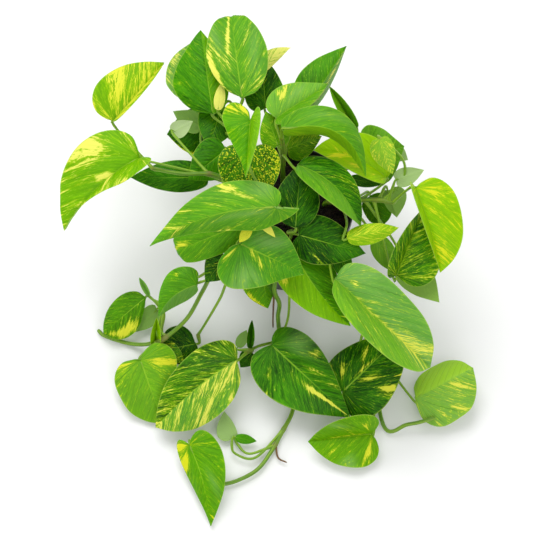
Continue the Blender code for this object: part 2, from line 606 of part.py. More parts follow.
# Stems: each is one body with its side shoots, petioles and young leaves.
holes = []
for name, places in STEMS.items():
    root = spot(*places[0])
    holes.append(make("hole", *upright(root.x, root.y, SOIL_HOLE_RADIUS, SOIL_HOLE_FLOOR, SOIL_HEIGHT + 6, 10)))
    foot = [Vector((root.x, root.y, SOIL_HOLE_FLOOR + SOIL_GAP)), Vector((root.x, root.y, SOIL_HEIGHT + 4))]
    line = smooth(foot + [spot(*place) for place in places[1:]], STEM_STEP)
    pieces = []
    lines = {None: line}
    for number, (owner, along, route, first, last) in enumerate(SHOOTS):
        if owner == name:
            start = at_share(line, along)
            lines[number] = smooth([start] + [spot(*place) for place in route], STEM_STEP)
            pieces.append(make("shoot", *tube(lines[number], first, last, PETIOLE_SIDES)))
    for row in LEAVES:
        if row["stem"] == name:
            pieces.append(make("petiole", *petiole(row, lines[row["shoot"]])))
            if row["young"]:
                pieces.append(make("young", *blade(row, (1.0,))))
    green = material("green of stem " + name.replace("_", " "), STEM_COLOUR, 0.45)
    stem = make("stem_" + name, *tube(line, STEM_RADIUS, STEM_END_RADIUS, STEM_SIDES), green)
    combine(stem, pieces, "UNION")
combine(soil, holes, "DIFFERENCE")

# Blades: one body each.
for row in LEAVES:
    if not row["young"]:
        green = material("green of " + row["name"].replace("_", " "), BLADE_COLOURS[row["tint"]], 0.35)
        make(row["name"], *blade(row, (0.5, 1.0)), green)
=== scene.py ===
# %% [markdown]
# # A golden pothos in a nursery pot
# This lesson dresses a potted pothos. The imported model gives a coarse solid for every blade, every stem,
# the soil and the pot. Here each of them is made again with its veins, waves and markings, in exactly the
# same place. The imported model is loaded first, because every piece has to ride on it and stay inside its
# box.

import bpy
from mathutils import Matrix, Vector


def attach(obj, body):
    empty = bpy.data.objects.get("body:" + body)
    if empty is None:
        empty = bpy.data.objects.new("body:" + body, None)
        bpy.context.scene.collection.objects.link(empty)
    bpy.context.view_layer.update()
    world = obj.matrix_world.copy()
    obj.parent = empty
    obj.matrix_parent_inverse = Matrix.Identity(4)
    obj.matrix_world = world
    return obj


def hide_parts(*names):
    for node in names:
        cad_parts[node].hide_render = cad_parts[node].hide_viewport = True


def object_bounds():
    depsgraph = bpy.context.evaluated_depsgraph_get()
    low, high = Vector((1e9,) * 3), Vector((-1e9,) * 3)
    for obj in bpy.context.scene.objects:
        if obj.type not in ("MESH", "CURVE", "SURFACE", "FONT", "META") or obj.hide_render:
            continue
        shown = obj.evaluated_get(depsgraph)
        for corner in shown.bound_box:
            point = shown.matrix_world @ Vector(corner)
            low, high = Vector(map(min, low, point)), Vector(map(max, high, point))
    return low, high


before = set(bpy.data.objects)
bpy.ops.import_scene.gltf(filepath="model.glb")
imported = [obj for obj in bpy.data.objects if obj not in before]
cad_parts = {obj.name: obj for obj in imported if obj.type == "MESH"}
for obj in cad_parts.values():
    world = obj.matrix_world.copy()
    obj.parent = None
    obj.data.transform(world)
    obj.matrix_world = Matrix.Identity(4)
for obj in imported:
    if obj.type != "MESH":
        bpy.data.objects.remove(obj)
plant_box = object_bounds()
print("loaded", len(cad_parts), "solids, in the box", [list(corner) for corner in plant_box])

# %% [markdown]
# ## Tools
# Blender counts in metres. A plant is easier to think of in millimetres, so the layout below is in them and
# one small function turns it into a mesh in metres. Colours are written as they look on a screen, from 0 to
# 255, and turned into the linear values that shaders use.

# %% Shared helpers
import math
import random

import bpy
import numpy as np
from mathutils import Vector

MILLIMETRE = 0.001
scene = bpy.context.scene


def screen_colour(red, green, blue):
    """Linear RGBA for a colour as a screen shows it."""
    linear = []
    for value in (red, green, blue):
        value /= 255
        linear.append(value / 12.92 if value <= 0.04045 else ((value + 0.055) / 1.055) ** 2.4)
    return (*linear, 1.0)


def new_mesh(name, points, faces):
    """An object at the origin whose mesh has the points, given in millimetres."""
    mesh = bpy.data.meshes.new(name)
    mesh.from_pydata([[MILLIMETRE * number for number in point] for point in points], [], faces)
    mesh.update()
    thing = bpy.data.objects.new(name, mesh)
    scene.collection.objects.link(thing)
    return thing


def smooth_shading(mesh, sharp_degrees):
    mesh.shade_smooth()
    mesh.set_sharp_from_angle(angle=math.radians(sharp_degrees))


def dress(piece, slot, *nodes):
    """The piece takes the place of the nodes and stays with the pot."""
    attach(piece, "root")
    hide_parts(*nodes)


# %% [markdown]
# ## The viewer
# The photograph looks down at the plant at 65 degrees. The plant was laid out from there: a place is given
# as millimetres across and up on a sheet that faces the camera, and a height above the table. That makes it
# easy to set a leaf where it is seen, and still choose how high it grows. The camera stands at the same eye
# point.

# %% The camera and how places are measured
# The tilt is in degrees, and the lengths are in millimetres. The sheet cuts the pot's axis at SHEET_HEIGHT.
# The middle of the photograph lies at SHEET_CENTRE on it, and one pixel of it is PIXEL wide there.
VIEW_TILT = 65.0
EYE_DISTANCE = 1400.0
SHEET_HEIGHT = 60.0
SHEET_CENTRE = (-17.2, -13.2)
PIXEL = 0.8
PHOTO_SIZE = 533
SENSOR_WIDTH = 36

ACROSS = Vector((1, 0, 0))
UP = Vector((0, math.sin(math.radians(VIEW_TILT)), math.cos(math.radians(VIEW_TILT))))
NEARER = ACROSS.cross(UP)
SHEET = NEARER * SHEET_HEIGHT * NEARER.z
EYE = SHEET + ACROSS * SHEET_CENTRE[0] + UP * SHEET_CENTRE[1] + NEARER * EYE_DISTANCE


def spot(across, up, height):
    """The point at that height on the line from the eye through that place of the sheet."""
    ray = SHEET + ACROSS * across + UP * up - EYE
    return EYE + ray * ((height - EYE.z) / ray.z)


camera = bpy.data.objects.new("camera", bpy.data.cameras.new("camera"))
camera.location = EYE * MILLIMETRE
camera.rotation_euler = (math.radians(90 - VIEW_TILT), 0, 0)
camera.data.sensor_width = SENSOR_WIDTH
camera.data.lens = SENSOR_WIDTH / (PHOTO_SIZE * PIXEL / EYE_DISTANCE)
scene.collection.objects.link(camera)
scene.camera = camera
print("camera lens", round(camera.data.lens, 1), "mm")

# %% [markdown]
# ## Light and floor
# The photograph was lit softly from above, on white. Large area lights give soft sheens on waxy leaves, and
# a pale world fills the shadows between them. The floor is plain and pale, so that it never draws the eye.

# %% Lights, world and floor
PLANT_MIDDLE = Vector((-0.01, -0.03, 0.08))
FLOOR_REACH = 3000


def soft_light(name, place, size, power):
    """A round area light that faces the plant, all in metres and watts."""
    light = bpy.data.lights.new(name, "AREA")
    light.shape = "DISK"
    light.size = size
    light.energy = power
    thing = bpy.data.objects.new(name, light)
    thing.location = place
    thing.rotation_euler = (PLANT_MIDDLE - Vector(place)).to_track_quat("-Z", "Y").to_euler()
    scene.collection.objects.link(thing)


soft_light("softbox above", (-0.25, 0.55, 1.5), 1.1, 13)
soft_light("fill at the camera", (0.5, -1.3, 1.6), 1.4, 9)
soft_light("kicker from the left", (-1.5, 0.1, 0.7), 0.8, 4)

world = bpy.data.worlds.new("pale room")
world.use_nodes = True
world.node_tree.nodes["Background"].inputs["Color"].default_value = (1, 1, 1, 1)
world.node_tree.nodes["Background"].inputs["Strength"].default_value = 0.70
scene.world = world
scene.view_settings.view_transform = "Standard"

floor_corners = [(x * FLOOR_REACH, y * FLOOR_REACH, 0) for x, y in ((-1, -1), (1, -1), (1, 1), (-1, 1))]
floor = new_mesh("floor", floor_corners, [(0, 1, 2, 3)])
floor_finish = bpy.data.materials.new("pale floor")
floor_finish.use_nodes = True
floor_finish.node_tree.nodes["Principled BSDF"].inputs["Base Color"].default_value = (0.9, 0.9, 0.9, 1)
floor_finish.node_tree.nodes["Principled BSDF"].inputs["Roughness"].default_value = 0.9
floor.data.materials.append(floor_finish)

# %% [markdown]
# ## The layout of the plant
# A pothos is a vine. Each stem grows through a few places, and every leaf leaves its stem at some share of
# the stem's length. STEMS and SHOOTS list the places. A leaf row gives its stem, that share, the places of
# the blade's base and tip, its width, and how far each half is raised towards the viewer. The places are
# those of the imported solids, because a piece that stands for a solid has to lie where the solid lies.

# %% Stems and shoots
# A stem: the places it grows through, from where it leaves the soil.
STEMS = {
    "left": ((-30, 36, 72), (-36, 46, 98), (-58, 60, 111), (-84, 61, 113), (-108, 65, 109)),
    "back_left": ((-18, 52, 72), (-24, 64, 98), (-36, 84, 112), (-46, 100, 115)),
    "back": ((-4, 52, 72), (-4, 66, 100), (-4, 80, 124), (-5, 90, 142)),
    "right": ((30, 36, 72), (44, 38, 90), (58, 40, 100), (74, 40, 106), (84, 38, 106)),
    "centre": ((-16, 30, 72), (-15, 32, 100), (-12, 33, 125), (-7, 34, 146)),
    "front_left": (
        (-21, 14, 72), (-40, 12, 93), (-52, 2, 94), (-62, -14, 82), (-64, -24, 62), (-70, -36, 38),
        (-81, -55, 27), (-98, -70, 26), (-110, -75, 14), (-126, -75, 5), (-146, -69, 4), (-152, -64, 4),
    ),
    "front": (
        (-2, 8, 72), (-4, -8, 92), (-11, -30, 72), (-7, -43, 50), (-8, -54, 34), (-6, -72, 12), (0, -100, 6),
        (4, -126, 6), (-5, -146, 5), (-14, -162, 5), (-25, -176, 5), (-42, -185, 5), (-58, -188, 5),
        (-66, -186, 5),
    ),
    "front_right": (
        (18, 14, 72), (38, 6, 91), (52, -20, 80), (58, -44, 50), (62, -64, 20), (66, -88, 8), (71, -112, 6),
        (74, -132, 6), (78, -143, 6), (84, -145, 6), (94, -140, 10), (104, -138, 16), (118, -134, 18),
    ),
}

# Side shoots and aerial roots: the stem, how far along it, the places grown through, and the two end radii.
SHOOTS = (
    ("back", 0.25, ((10, 58, 96), (30, 62, 99), (50, 66, 98), (60, 70, 97)), 1.6, 1.3),
    ("front_left", 0.04, (
        (-34, -6, 92), (-48, -24, 82), (-54, -38, 58), (-65, -57, 28), (-72, -68, 16),
    ), 1.3, 1.0),
    ("front_right", 0.04, ((8, 16, 90), (0, 14, 104)), 1.6, 1.3),
    ("front_left", 0.30, ((-66, -18, 76), (-72, -22, 74)), 1.2, 1.1),
    ("front", 0.765, ((-8, -166, 4), (-1, -170, 4)), 0.9, 0.6),
    ("front", 0.24, ((-12, -53, 34), (-12, -62, 26)), 0.9, 0.6),
    ("front", 0.45, ((-13, -74, 22), (-24, -77, 26), (-33, -82, 27)), 1.3, 1.1),
)

# The two shoots that are aerial roots.
ROOT_SHOOTS = (4, 5)
print(len(STEMS), "stems and", len(SHOOTS), "shoots")

# %% [markdown]
# Besides its places, a leaf row can say more. Where a value is a pair, it stands for the left and the right
# half, as seen from the petiole.
# - bend: how far the midrib arches, in degrees. sway: how far it swings aside, in millimetres.
# - reach: the share of the blade up to the place of its tip. The rest of it curls under.
# - lobe: how deep the heart's lobes are. full: how broad the tip is. hook: how far a lobe curls inwards.
# - halves: how wide each half is. face: -1 where the viewer sees the under side.
# - via: places that the petiole passes. bent: how steeply it meets the blade, in degrees.
# - shoot: the number of the shoot it leaves, counted from 0. tint: its finish.
# The leaves in YOUNG are small ones that are fused to their stem.

# %% Leaves
def leaf(name, stem, along, base, tip, width, left=-10, right=-10, **more):
    """A blade and its petiole. base and tip are places. left and right are the angles in degrees by which
    each half's margin rises towards the viewer, or falls if negative."""
    row = {"bend": 20.0, "sway": 0.0, "lobe": 0.8, "full": 0.0, "reach": 1.0, "face": 1, "halves": (1.0, 1.0)}
    row.update(hook=0.0, via=(), bent=35.0, shoot=None, tint="fresh")
    row.update(name=name, stem=stem, along=along, base=base, tip=tip, width=width, left=left, right=right)
    return {**row, **more}


GROWN = (
    leaf("leaf_top", "back_left", 1, (-37, 122, 140), (-45.2, 184, 154), 58, -10, 5, lobe=(-0.3, 0.1),
         full=(0, -0.05), halves=(0.8, 0.85), reach=0.8),
    leaf("leaf_top_left", "back_left", 0.9, (-60, 109, 122), (-70, 176, 138), 58, -15, -10,
         lobe=(-0.1, 0.2), full=(-0.25, 0), halves=(1, 0.55)),
    leaf("leaf_top_left_back", "back_left", 0.8, (-67, 106, 100), (-77.6, 165.6, 112), 56, -8, -10,
         lobe=(-0.9, 0.3), full=(0.1, 0), halves=(0.87, 0.7), tint="pale"),
    leaf("leaf_top_cream", "back_left", 0.95, (-28.8, 137.6, 124), (2, 162, 132), 20, 0, -20, sway=-2,
         lobe=0.2, halves=(0.85, 0.5), tint="pale"),
    leaf("leaf_top_dark", "back", 0.6, (-18, 114, 102), (-21, 156, 112), 32, 0, -10, tint="dark"),
    leaf("leaf_top_right", "back", 0.75, (14, 112, 126), (47, 163, 140), 44, -15, -72, lobe=0.4,
         halves=(0.92, 1)),
    leaf("leaf_back_right", "back", 0.9, (-9, 106, 146), (32, 133, 152), 40, -20, 62, halves=(1, 0.8)),
    leaf("leaf_back_folded", "back", 0.9, (54, 98, 130), (33, 131, 146), 22, 65, 65, lobe=0.3, shoot=0,
         tint="dark"),
    leaf("leaf_high_right", "back", 1, (-4, 96, 168), (62, 59, 142), 50, -38, -75, bend=40, sway=-18,
         lobe=0.4, halves=(0.82, 1)),
    leaf("leaf_right_yellow", "right", 0.65, (79, 58, 114), (20, 80, 124), 42, 58, -8, sway=6, lobe=0.3,
         tint="yellow"),
    leaf("leaf_high_front", "centre", 1, (-30, 104, 188), (-34, 58, 174), 46, 72, -10, lobe=(1.2, 2.6),
         halves=(1, 0.85), via=((-22, 50, 147), (-31, 68, 160), (-31, 86, 173)), bent=110),
    leaf("leaf_left_dark", "back_left", 0.7, (-60.8, 96, 79), (-96.8, 92.8, 83), 38, -5, -10, lobe=0.3,
         bent=5, tint="dark"),
    leaf("leaf_left_upper", "left", 1, (-140, 103, 127), (-99, 150, 145), 56, -15, 80, lobe=(0.8, 0),
         full=(0.3, 0), halves=(1.05, 0.6), tint="yellow"),
    leaf("leaf_left_large", "left", 0.5, (-119, 74, 124), (-179.2, 15.2, 102), 62, 58, -10, sway=6,
         lobe=(0.9, 0.6), full=(-1.6, 0), halves=(0.62, 1.12), tint="yellow"),
    leaf("leaf_left_low", "left", 0.4, (-64, 58, 94), (-126, 58, 96), 28, lobe=0.3, halves=(0.85, 1),
         tint="dark"),
    leaf("leaf_left_inner", "back_left", 0.45, (-50, 80, 108), (-80, 56, 103), 34, tint="dark"),
    leaf("leaf_mosaic", "back_left", 0.6, (-31.2, 80, 136), (-30.4, 28, 112), 48, -5, -5, lobe=1,
         tint="dark"),
    leaf("leaf_front_large", "centre", 1, (-9, 34, 158), (-110.8, 3.2, 140), 52, -50, -15, sway=8,
         lobe=(1.45, 0.55), full=(0, -0.3), halves=(0.95, 0.88), hook=(2.1, 0)),
    leaf("leaf_front_round", "centre", 0.5, (-38, 20, 112), (-85.6, 0.8, 104), 31, full=1, reach=0.8,
         tint="dark"),
    leaf("leaf_centre_front", "centre", 0.6, (-38, 5, 120), (13, -19, 106), 66, -10, -8, lobe=(0.3, 1.6),
         full=(-0.1, 0), halves=(0.72, 1)),
    leaf("leaf_front_dark", "front_left", 0.2, (-50, -6, 100), (-66, -26, 89), 24, tint="dark"),
    leaf("leaf_centre_upright", "front_right", 1, (6, 18, 118), (10, 69, 132), 34, -8, -8, lobe=0.1,
         shoot=2, tint="dark"),
    leaf("leaf_centre_right", "back", 0.7, (8, 68, 144), (58, 19, 126), 46, -32, 58, sway=-8, lobe=0.2,
         halves=(0.8, 1), tint="dark"),
    leaf("leaf_centre_flat", "front_right", 0.9, (9, 12, 112), (62, -3, 104), 38, -5, -10, shoot=2,
         tint="dark"),
    leaf("leaf_right_under", "front_right", 0.15, (40, 0, 101), (49.6, -29.6, 88), 16, tint="dark"),
    leaf("leaf_front_right", "front_right", 0.8, (2, 4, 98), (50, -61, 76), 52, -30, 0, sway=4,
         halves=(1, 0.84), shoot=2),
    leaf("leaf_right_band", "right", 0.4, (47.2, 9.6, 121), (88.8, 18, 121), 18, -30, -20, lobe=0.2,
         via=((47, 22, 119),), tint="yellow"),
    leaf("leaf_right_large", "front_right", 0.12, (38, -23, 110), (114, -94, 76), 62, -8, 55, lobe=(0.5, 0),
         full=(0.8, 0.6), halves=(0.9, 0.96)),
    leaf("leaf_right_mottled", "right", 0.8, (87, -20, 89), (109, 34, 107), 57, 58, -5, halves=(0.62, 1),
         tint="yellow"),
    leaf("leaf_far_right", "right", 1, (102, 50, 130), (122, -18, 104), 58, -12, 78, sway=-2, lobe=0.7,
         full=(0.6, 0), halves=(0.94, 0.7), tint="yellow"),
    leaf("leaf_right_young", "right", 0.9, (73.6, 88.8, 150), (84, 60.8, 134), 22, -20, -20, lobe=0.6,
         halves=(0.8, 1), via=((91, 54, 118), (92, 72, 134)), bent=60, tint="pale"),
    leaf("leaf_right_wavy", "back", 1, (62, 74, 103), (93, 83, 117), 48, -5, -10, shoot=0),
    leaf("leaf_right_olive", "right", 0.85, (80, 47.2, 98), (87, 26, 92), 26, 25, 5, halves=(0.5, 1),
         face=-1, tint="pale"),
    leaf("leaf_right_inner", "right", 0.25, (49.6, 56.8, 93), (76.8, 52.8, 85), 10, -10, -5, lobe=0.3,
         tint="dark"),
    leaf("leaf_right_round", "right", 0.35, (65.6, 43, 79), (76.5, 20, 73), 25, lobe=0.5, full=0.8,
         halves=(1, 0.8), via=((53, 41, 91),), bent=10, tint="dark"),
    leaf("leaf_right_back", "right", 0.5, (70, 10, 84), (87, -19, 78), 18, lobe=0.3),
    leaf("leaf_right_pale", "right", 0.7, (93, -10, 78), (121, -42, 72), 28, face=-1, via=((84, 8, 88),),
         tint="pale"),
    leaf("leaf_rim", "front", 0.17, (-21, -16, 80), (-16, -47, 58), 34, -50, 0, lobe=0.5, tint="dark"),
    leaf("leaf_trail_upper", "front_left", 0.4, (-73, -28, 60), (-104, -54, 42), 38, -55, -20, sway=5,
         lobe=(0.3, 0.8), full=(0, -0.45), halves=(0.85, 1), shoot=1),
    leaf("leaf_trail_far_left", "front_left", 0.73, (-114, -38, 26), (-148, -66.4, 13), 36, -5, -30,
         lobe=(-0.8, 0.2), full=(0.5, 0.3), halves=(0.85, 0.92), via=((-105, -66, 24), (-102, -49, 25))),
    leaf("leaf_trail_pale", "front_left", 0.72, (-105, -48, 14), (-124, -66, 9), 16, face=-1, tint="pale",
         via=((-101, -64, 21), (-99, -52, 18))),
    leaf("leaf_trail_dark", "front_left", 1, (-74, -75, 12), (-102.4, -80.8, 10), 35, lobe=(0.8, 0.1),
         full=(0, 0.6), shoot=1, tint="dark"),
    leaf("leaf_trail_heart", "front_left", 0.75, (-118, -88, 24), (-100, -139.2, 6), 54, lobe=(1.6, 0.8),
         full=(0, 0.7), halves=(1, 0.96)),
    leaf("leaf_trail_long", "front", 1, (-41, -88, 38), (-106, -142, 16), 58, -5, -20, sway=3,
         lobe=(0, 0.8), full=(0.5, 0.35), halves=(0.93, 0.9), shoot=6),
    leaf("leaf_trail_centre", "front", 0.12, (-13, -76, 44), (50, -134, 22), 63, -38, 0, lobe=(1, 0.8),
         via=((0, -15, 88), (1, -38, 66), (0, -54, 38), (-4, -66, 26)), bent=90, tint="dark"),
    leaf("leaf_trail_mottled", "front_right", 0.5, (44, -113, 22), (99, -60, 42), 62, -38, 0, lobe=1.2,
         bent=80, tint="dark"),
    leaf("leaf_trail_low", "front_right", 0.65, (67, -147, 16), (16, -153, 14), 50, 0, 52, lobe=0.95,
         full=(0.4, 0.2)),
    leaf("leaf_trail_far_right", "front_right", 0.55, (102, -118, 20), (148, -94, 30), 60, -50, -5,
         lobe=(0.2, 0.8), full=1, halves=(0.79, 1.03)),
    leaf("leaf_trail_tip", "front", 1, (-79, -156, 24), (-62, -221, 5), 44, 0, -43, sway=-3,
         lobe=(1.1, 1.3), halves=(0.97, 0.68)),
)
YOUNG = (
    leaf("cream", "back_left", 0.9, (-56, 112, 128), (-52.8, 134.4, 136), 9, lobe=0.2),
    leaf("spike", "centre", 0.85, (-26, 28, 135), (-10, 10, 129), 7, lobe=0.1),
    leaf("sheath", "centre", 0.8, (-30, 18, 130), (-39, 6, 127), 8, lobe=0.1),
    leaf("thin", "front_left", 0.71, (-111, -37, 32), (-119, -22, 36), 8, 55, 55, lobe=0.1,
         via=((-102, -64, 27), (-100, -46, 29))),
    leaf("pale_tip", "back", 1, (83, 80, 107), (96, 72, 104), 14, face=-1, shoot=0),
    leaf("upright", "front", 0.9, (-30.4, -78.4, 27), (-28.8, -56, 40), 12, 60, 60, lobe=0.1, shoot=6),
    leaf("upright_pale", "front", 0.9, (-40, -78, 20), (-33, -64, 27), 9, lobe=0.1, face=-1, shoot=6),
    leaf("small_low", "front", 0.9, (-29, -82, 20), (-38, -94, 14), 14, lobe=0.3, shoot=6),
    leaf("node_leaf", "front", 0.72, (-42, -150, 10), (-25, -153, 6), 8, lobe=0.2,
         via=((-26, -166, 6), (-42, -163, 7), (-45, -156, 9))),
    leaf("node_pale", "front", 0.77, (-43.2, -149.6, 6), (-51.2, -128.8, 12), 20, halves=(0.4, 1.2),
         face=-1, via=((-31, -163, 6), (-40, -156, 5))),
    leaf("left_pale", "left", 0.6, (-91.2, 94.4, 118), (-76, 103.2, 122), 14, lobe=1, face=-1),
    leaf("trail_folded", "front_left", 0.74, (-106, -74, 15), (-105, -54, 32), 20, 65, 65, lobe=0.2),
    leaf("trail_small", "front_left", 0.78, (-102, -76, 17.5), (-83, -90, 15), 16, lobe=0.4),
    leaf("right_pale", "right", 0.95, (87, 56, 122), (109, 64, 128), 15, face=-1),
    leaf("inner_right", "back", 0.5, (0, 81, 113), (27, 91, 119), 24),
    leaf("inner_back", "back", 0.8, (-8, 84, 130), (-18, 111, 139), 23),
    leaf("left_grey", "back_left", 0.5, (-70, 99, 90), (-92, 111, 92), 18, face=-1, via=((-66, 80, 93),)),
    leaf("left_green", "back_left", 0.75, (-53, 114, 110), (-64, 80, 104), 32,
         via=((-42, 110, 114), (-47, 119, 113)), bent=10),
)
print(len(GROWN), "blades and", len(YOUNG), "young leaves")

# %% [markdown]
# ## Curves
# Stems and petioles bend gently. A Catmull-Rom curve passes through every place that it is given, so the
# few listed places are enough for a smooth line.

# %% Smooth lines
def bell(distance, place, spread):
    """1 at the place, falling softly to nearly 0 at twice the spread."""
    return math.exp(-(((distance - place) / spread) ** 2))


def through(a, b, c, d, t):
    """The point at the share t from b to c, on the smooth curve through the four points."""
    curve = 2 * b + (c - a) * t + (2 * a - 5 * b + 4 * c - d) * t * t + (3 * b - a - 3 * c + d) * t ** 3
    return 0.5 * curve


def smooth(points, step):
    """Points about step apart on a smooth curve through the given ones."""
    ends = [points[0] * 2 - points[1]] + list(points) + [points[-1] * 2 - points[-2]]
    out = []
    for i in range(1, len(ends) - 2):
        count = max(1, round((ends[i + 1] - ends[i]).length / step))
        out += [through(*ends[i - 1 : i + 3], k / count) for k in range(count)]
    out.append(ends[-2].copy())
    return out


def length_of(points):
    return sum((b - a).length for a, b in zip(points, points[1:]))


def at_share(points, share):
    """The point at a share of a polyline's length."""
    left = share * length_of(points)
    for a, b in zip(points, points[1:]):
        length = (b - a).length
        if left <= length:
            return a + (b - a) * (left / length)
        left -= length
    return points[-1]


# %% [markdown]
# ## The shape of a blade
# A pothos blade is a lopsided heart with a folded midrib. Its side ribs leave the midrib and sweep towards
# the tip. The mesh follows them: one number says which rib a point is on, the other how far out it lies.
# HEART and EGG each give half an outline, as (out, along, where its rib starts), and a blade lies between
# the two by its lobe. FULL is added to them by its full.

# %% A blade's midrib and outline
HEART = (
    (0.10, -0.06, 0.01), (0.27, -0.09, 0.03), (0.42, -0.01, 0.07), (0.50, 0.16, 0.14),
    (0.475, 0.37, 0.26), (0.35, 0.61, 0.44), (0.16, 0.83, 0.68),
)
EGG = (
    (0.12, 0.02, 0.02), (0.26, 0.06, 0.05), (0.38, 0.15, 0.10), (0.47, 0.28, 0.20),
    (0.50, 0.46, 0.34), (0.40, 0.68, 0.52), (0.20, 0.87, 0.74),
)
FULL = ((0.0, 0.0),) * 4 + ((0.01, 0.05), (0.08, 0.08), (0.10, 0.06))
MIDRIB_STEPS = 60
TIP_CURL = math.radians(130)


def blade_frame(row):
    """A function from a share of the blade's length to (point, ahead, across, outward) on its midrib."""
    base, tip = spot(*row["base"]), spot(*row["tip"])
    chord = tip - base
    ahead = chord.normalized()
    facing = EYE - (base + tip) / 2
    facing = (facing - ahead * facing.dot(ahead)).normalized() * row["face"]
    across = ahead.cross(facing)
    reach, bend = row["reach"], math.radians(row["bend"])

    def angle(t):
        past = max(0.0, t - reach) / (1.001 - reach)
        return bend * (0.5 - t / reach) - past * TIP_CURL

    # The midrib is summed up in small straight steps: how far it runs ahead, and how far it rises.
    runs, rises = [0.0], [0.0]
    for k in range(MIDRIB_STEPS):
        turn = angle((k + 0.5) / MIDRIB_STEPS)
        runs.append(runs[-1] + math.cos(turn) / MIDRIB_STEPS)
        rises.append(rises[-1] + math.sin(turn) / MIDRIB_STEPS)
    scale = chord.length / runs[round(reach * MIDRIB_STEPS)]

    def frame_at(t):
        if t <= 0:
            run, rise = t * math.cos(angle(t / 2)), t * math.sin(angle(t / 2))
        else:
            k = min(MIDRIB_STEPS - 1, int(t * MIDRIB_STEPS))
            part = t * MIDRIB_STEPS - k
            run, rise = (table[k] + (table[k + 1] - table[k]) * part for table in (runs, rises))
        share = t / reach
        aside = 4 * row["sway"] * share * (1 - share)
        slope = 4 * row["sway"] * (1 - 2 * share) / (reach * scale)
        point = base + ahead * run * scale + facing * rise * scale + across * aside
        turn = angle(t)
        forward = (ahead * math.cos(turn) + facing * math.sin(turn) + across * slope).normalized()
        outward = facing * math.cos(turn) - ahead * math.sin(turn)
        outward = (outward - forward * outward.dot(forward)).normalized()
        return point, forward, forward.cross(outward), outward

    return frame_at


def half_of(value, half):
    """The half's own value, where the halves differ."""
    return value[half] if isinstance(value, tuple) else value


def outline(row, half):
    """The corners of half a blade's outline from base to tip: (out, along, where its rib starts)."""
    lobe, full, hook = (half_of(row[key], half) for key in ("lobe", "full", "hook"))
    wide = row["halves"][half]
    corners = [Vector((0, 0, 0))]
    for (x0, y0, m0), (x1, y1, m1), (dx, dy) in zip(EGG, HEART, FULL):
        y = y0 + (y1 - y0) * lobe + dy * full
        x = (x0 + (x1 - x0) * lobe + dx * full) * wide + hook * min(0.0, y)
        corners.append(Vector((max(0.004, x), y, (m0 + m1) / 2)))
    corners.append(Vector((0, 1, 1)))
    return corners


def on_outline(corners, rib):
    """The outline at a share of its ribs, by a smooth curve through its corners."""
    place = min(rib, 0.99999) * (len(corners) - 1)
    i = int(place)
    before = corners[i - 1] if i else corners[0] * 2 - corners[1]
    after = corners[i + 2] if i + 2 < len(corners) else corners[-1] + (corners[-1] - corners[-2]) * 0.6
    return through(before, corners[i], corners[i + 1], after, place - i)


# %% [markdown]
# ## Side veins
# The side veins leave the midrib slantwise, at about thirty degrees in a slim blade and more in a wide one,
# and curl on towards the tip. Those of the base fan out into the lobes. Every point of a blade is given two
# numbers: where its vein leaves the midrib, and how far along the vein it lies. The swellings of the mesh
# and the streaks of the paint both read them, so they agree.

# %% The vein through a point
# How much a vein leans and curls towards the tip, and how the veins of the base fan out, in radians.
SLIM, LEAN, CURL = 0.56, 1.7, 2.2
FAN, FAN_START, FAN_CURL = 0.28, 0.53, 0.18


def vein_place(wide, far):
    """wide is how far out the point lies on a blade SLIM times as wide as long, and far is its place along
    the midrib, both as shares of the blade's length. A wider blade stretches the pattern."""
    start = far - LEAN * wide - CURL * wide * wide
    if start >= 0:
        return start, math.hypot(wide, far - start)
    reach = math.hypot(wide, far)
    return -FAN * max(0.0, math.atan2(wide, far) - FAN_START + FAN_CURL * reach), reach


# %% [markdown]
# ## Blades as meshes
# The upper face is computed point by point: out along a rib, raised by the fold, with a groove over the
# midrib, low swellings between the side veins and waves that grow towards the margin.

# %% The upper face
RIBS, COLUMNS = 56, 14
YOUNG_RIBS, YOUNG_COLUMNS = 22, 7
THICKNESS, YOUNG_THICKNESS = 0.42, 0.34
VEINS = 8

# The cup is in degrees. The rest are millimetres on a blade of the usual width.
USUAL_WIDTH = 50
CUP = 24.0
WAVE_HEIGHT, RUFFLE_HEIGHT, SWELL_HEIGHT, GROOVE_DEPTH, KEEL_DEPTH = 0.9, 0.35, 0.22, 0.40, 0.55
GROOVE_WIDTH, KEEL_WIDTH = 1.1, 1.0


def blade_point(row, frame_at, side, edge, q, rib, size):
    """A point of the upper face, its distance from the midrib and its place among the veins. q is how far
    out it lies on its rib, from 0 to 1."""
    x, y, start = edge
    far = start + (y - start) * q
    veins = vein_place(SLIM * x * q, far)
    point, forward, across, outward = frame_at(far)
    angle = math.radians((row["right"] if side > 0 else row["left"]) + CUP / 2 * (1 - q))
    reach = x * row["width"] * q
    lift = WAVE_HEIGHT * q * q * math.sin(11.0 * y + 1.7 * side + 0.11 * row["width"])
    lift += RUFFLE_HEIGHT * q ** 4 * math.sin(29.0 * rib + 2.3 * side + row["width"])
    between_veins = -math.cos(2 * math.pi * VEINS * veins[0])
    lift += SWELL_HEIGHT * between_veins * math.sin(math.pi * min(1.0, q * 1.1)) ** 0.7
    lift -= GROOVE_DEPTH * bell(reach, 0, GROOVE_WIDTH)
    rise = reach * math.sin(angle) + size * lift
    return point + across * side * reach * math.cos(angle) + outward * rise, reach, veins


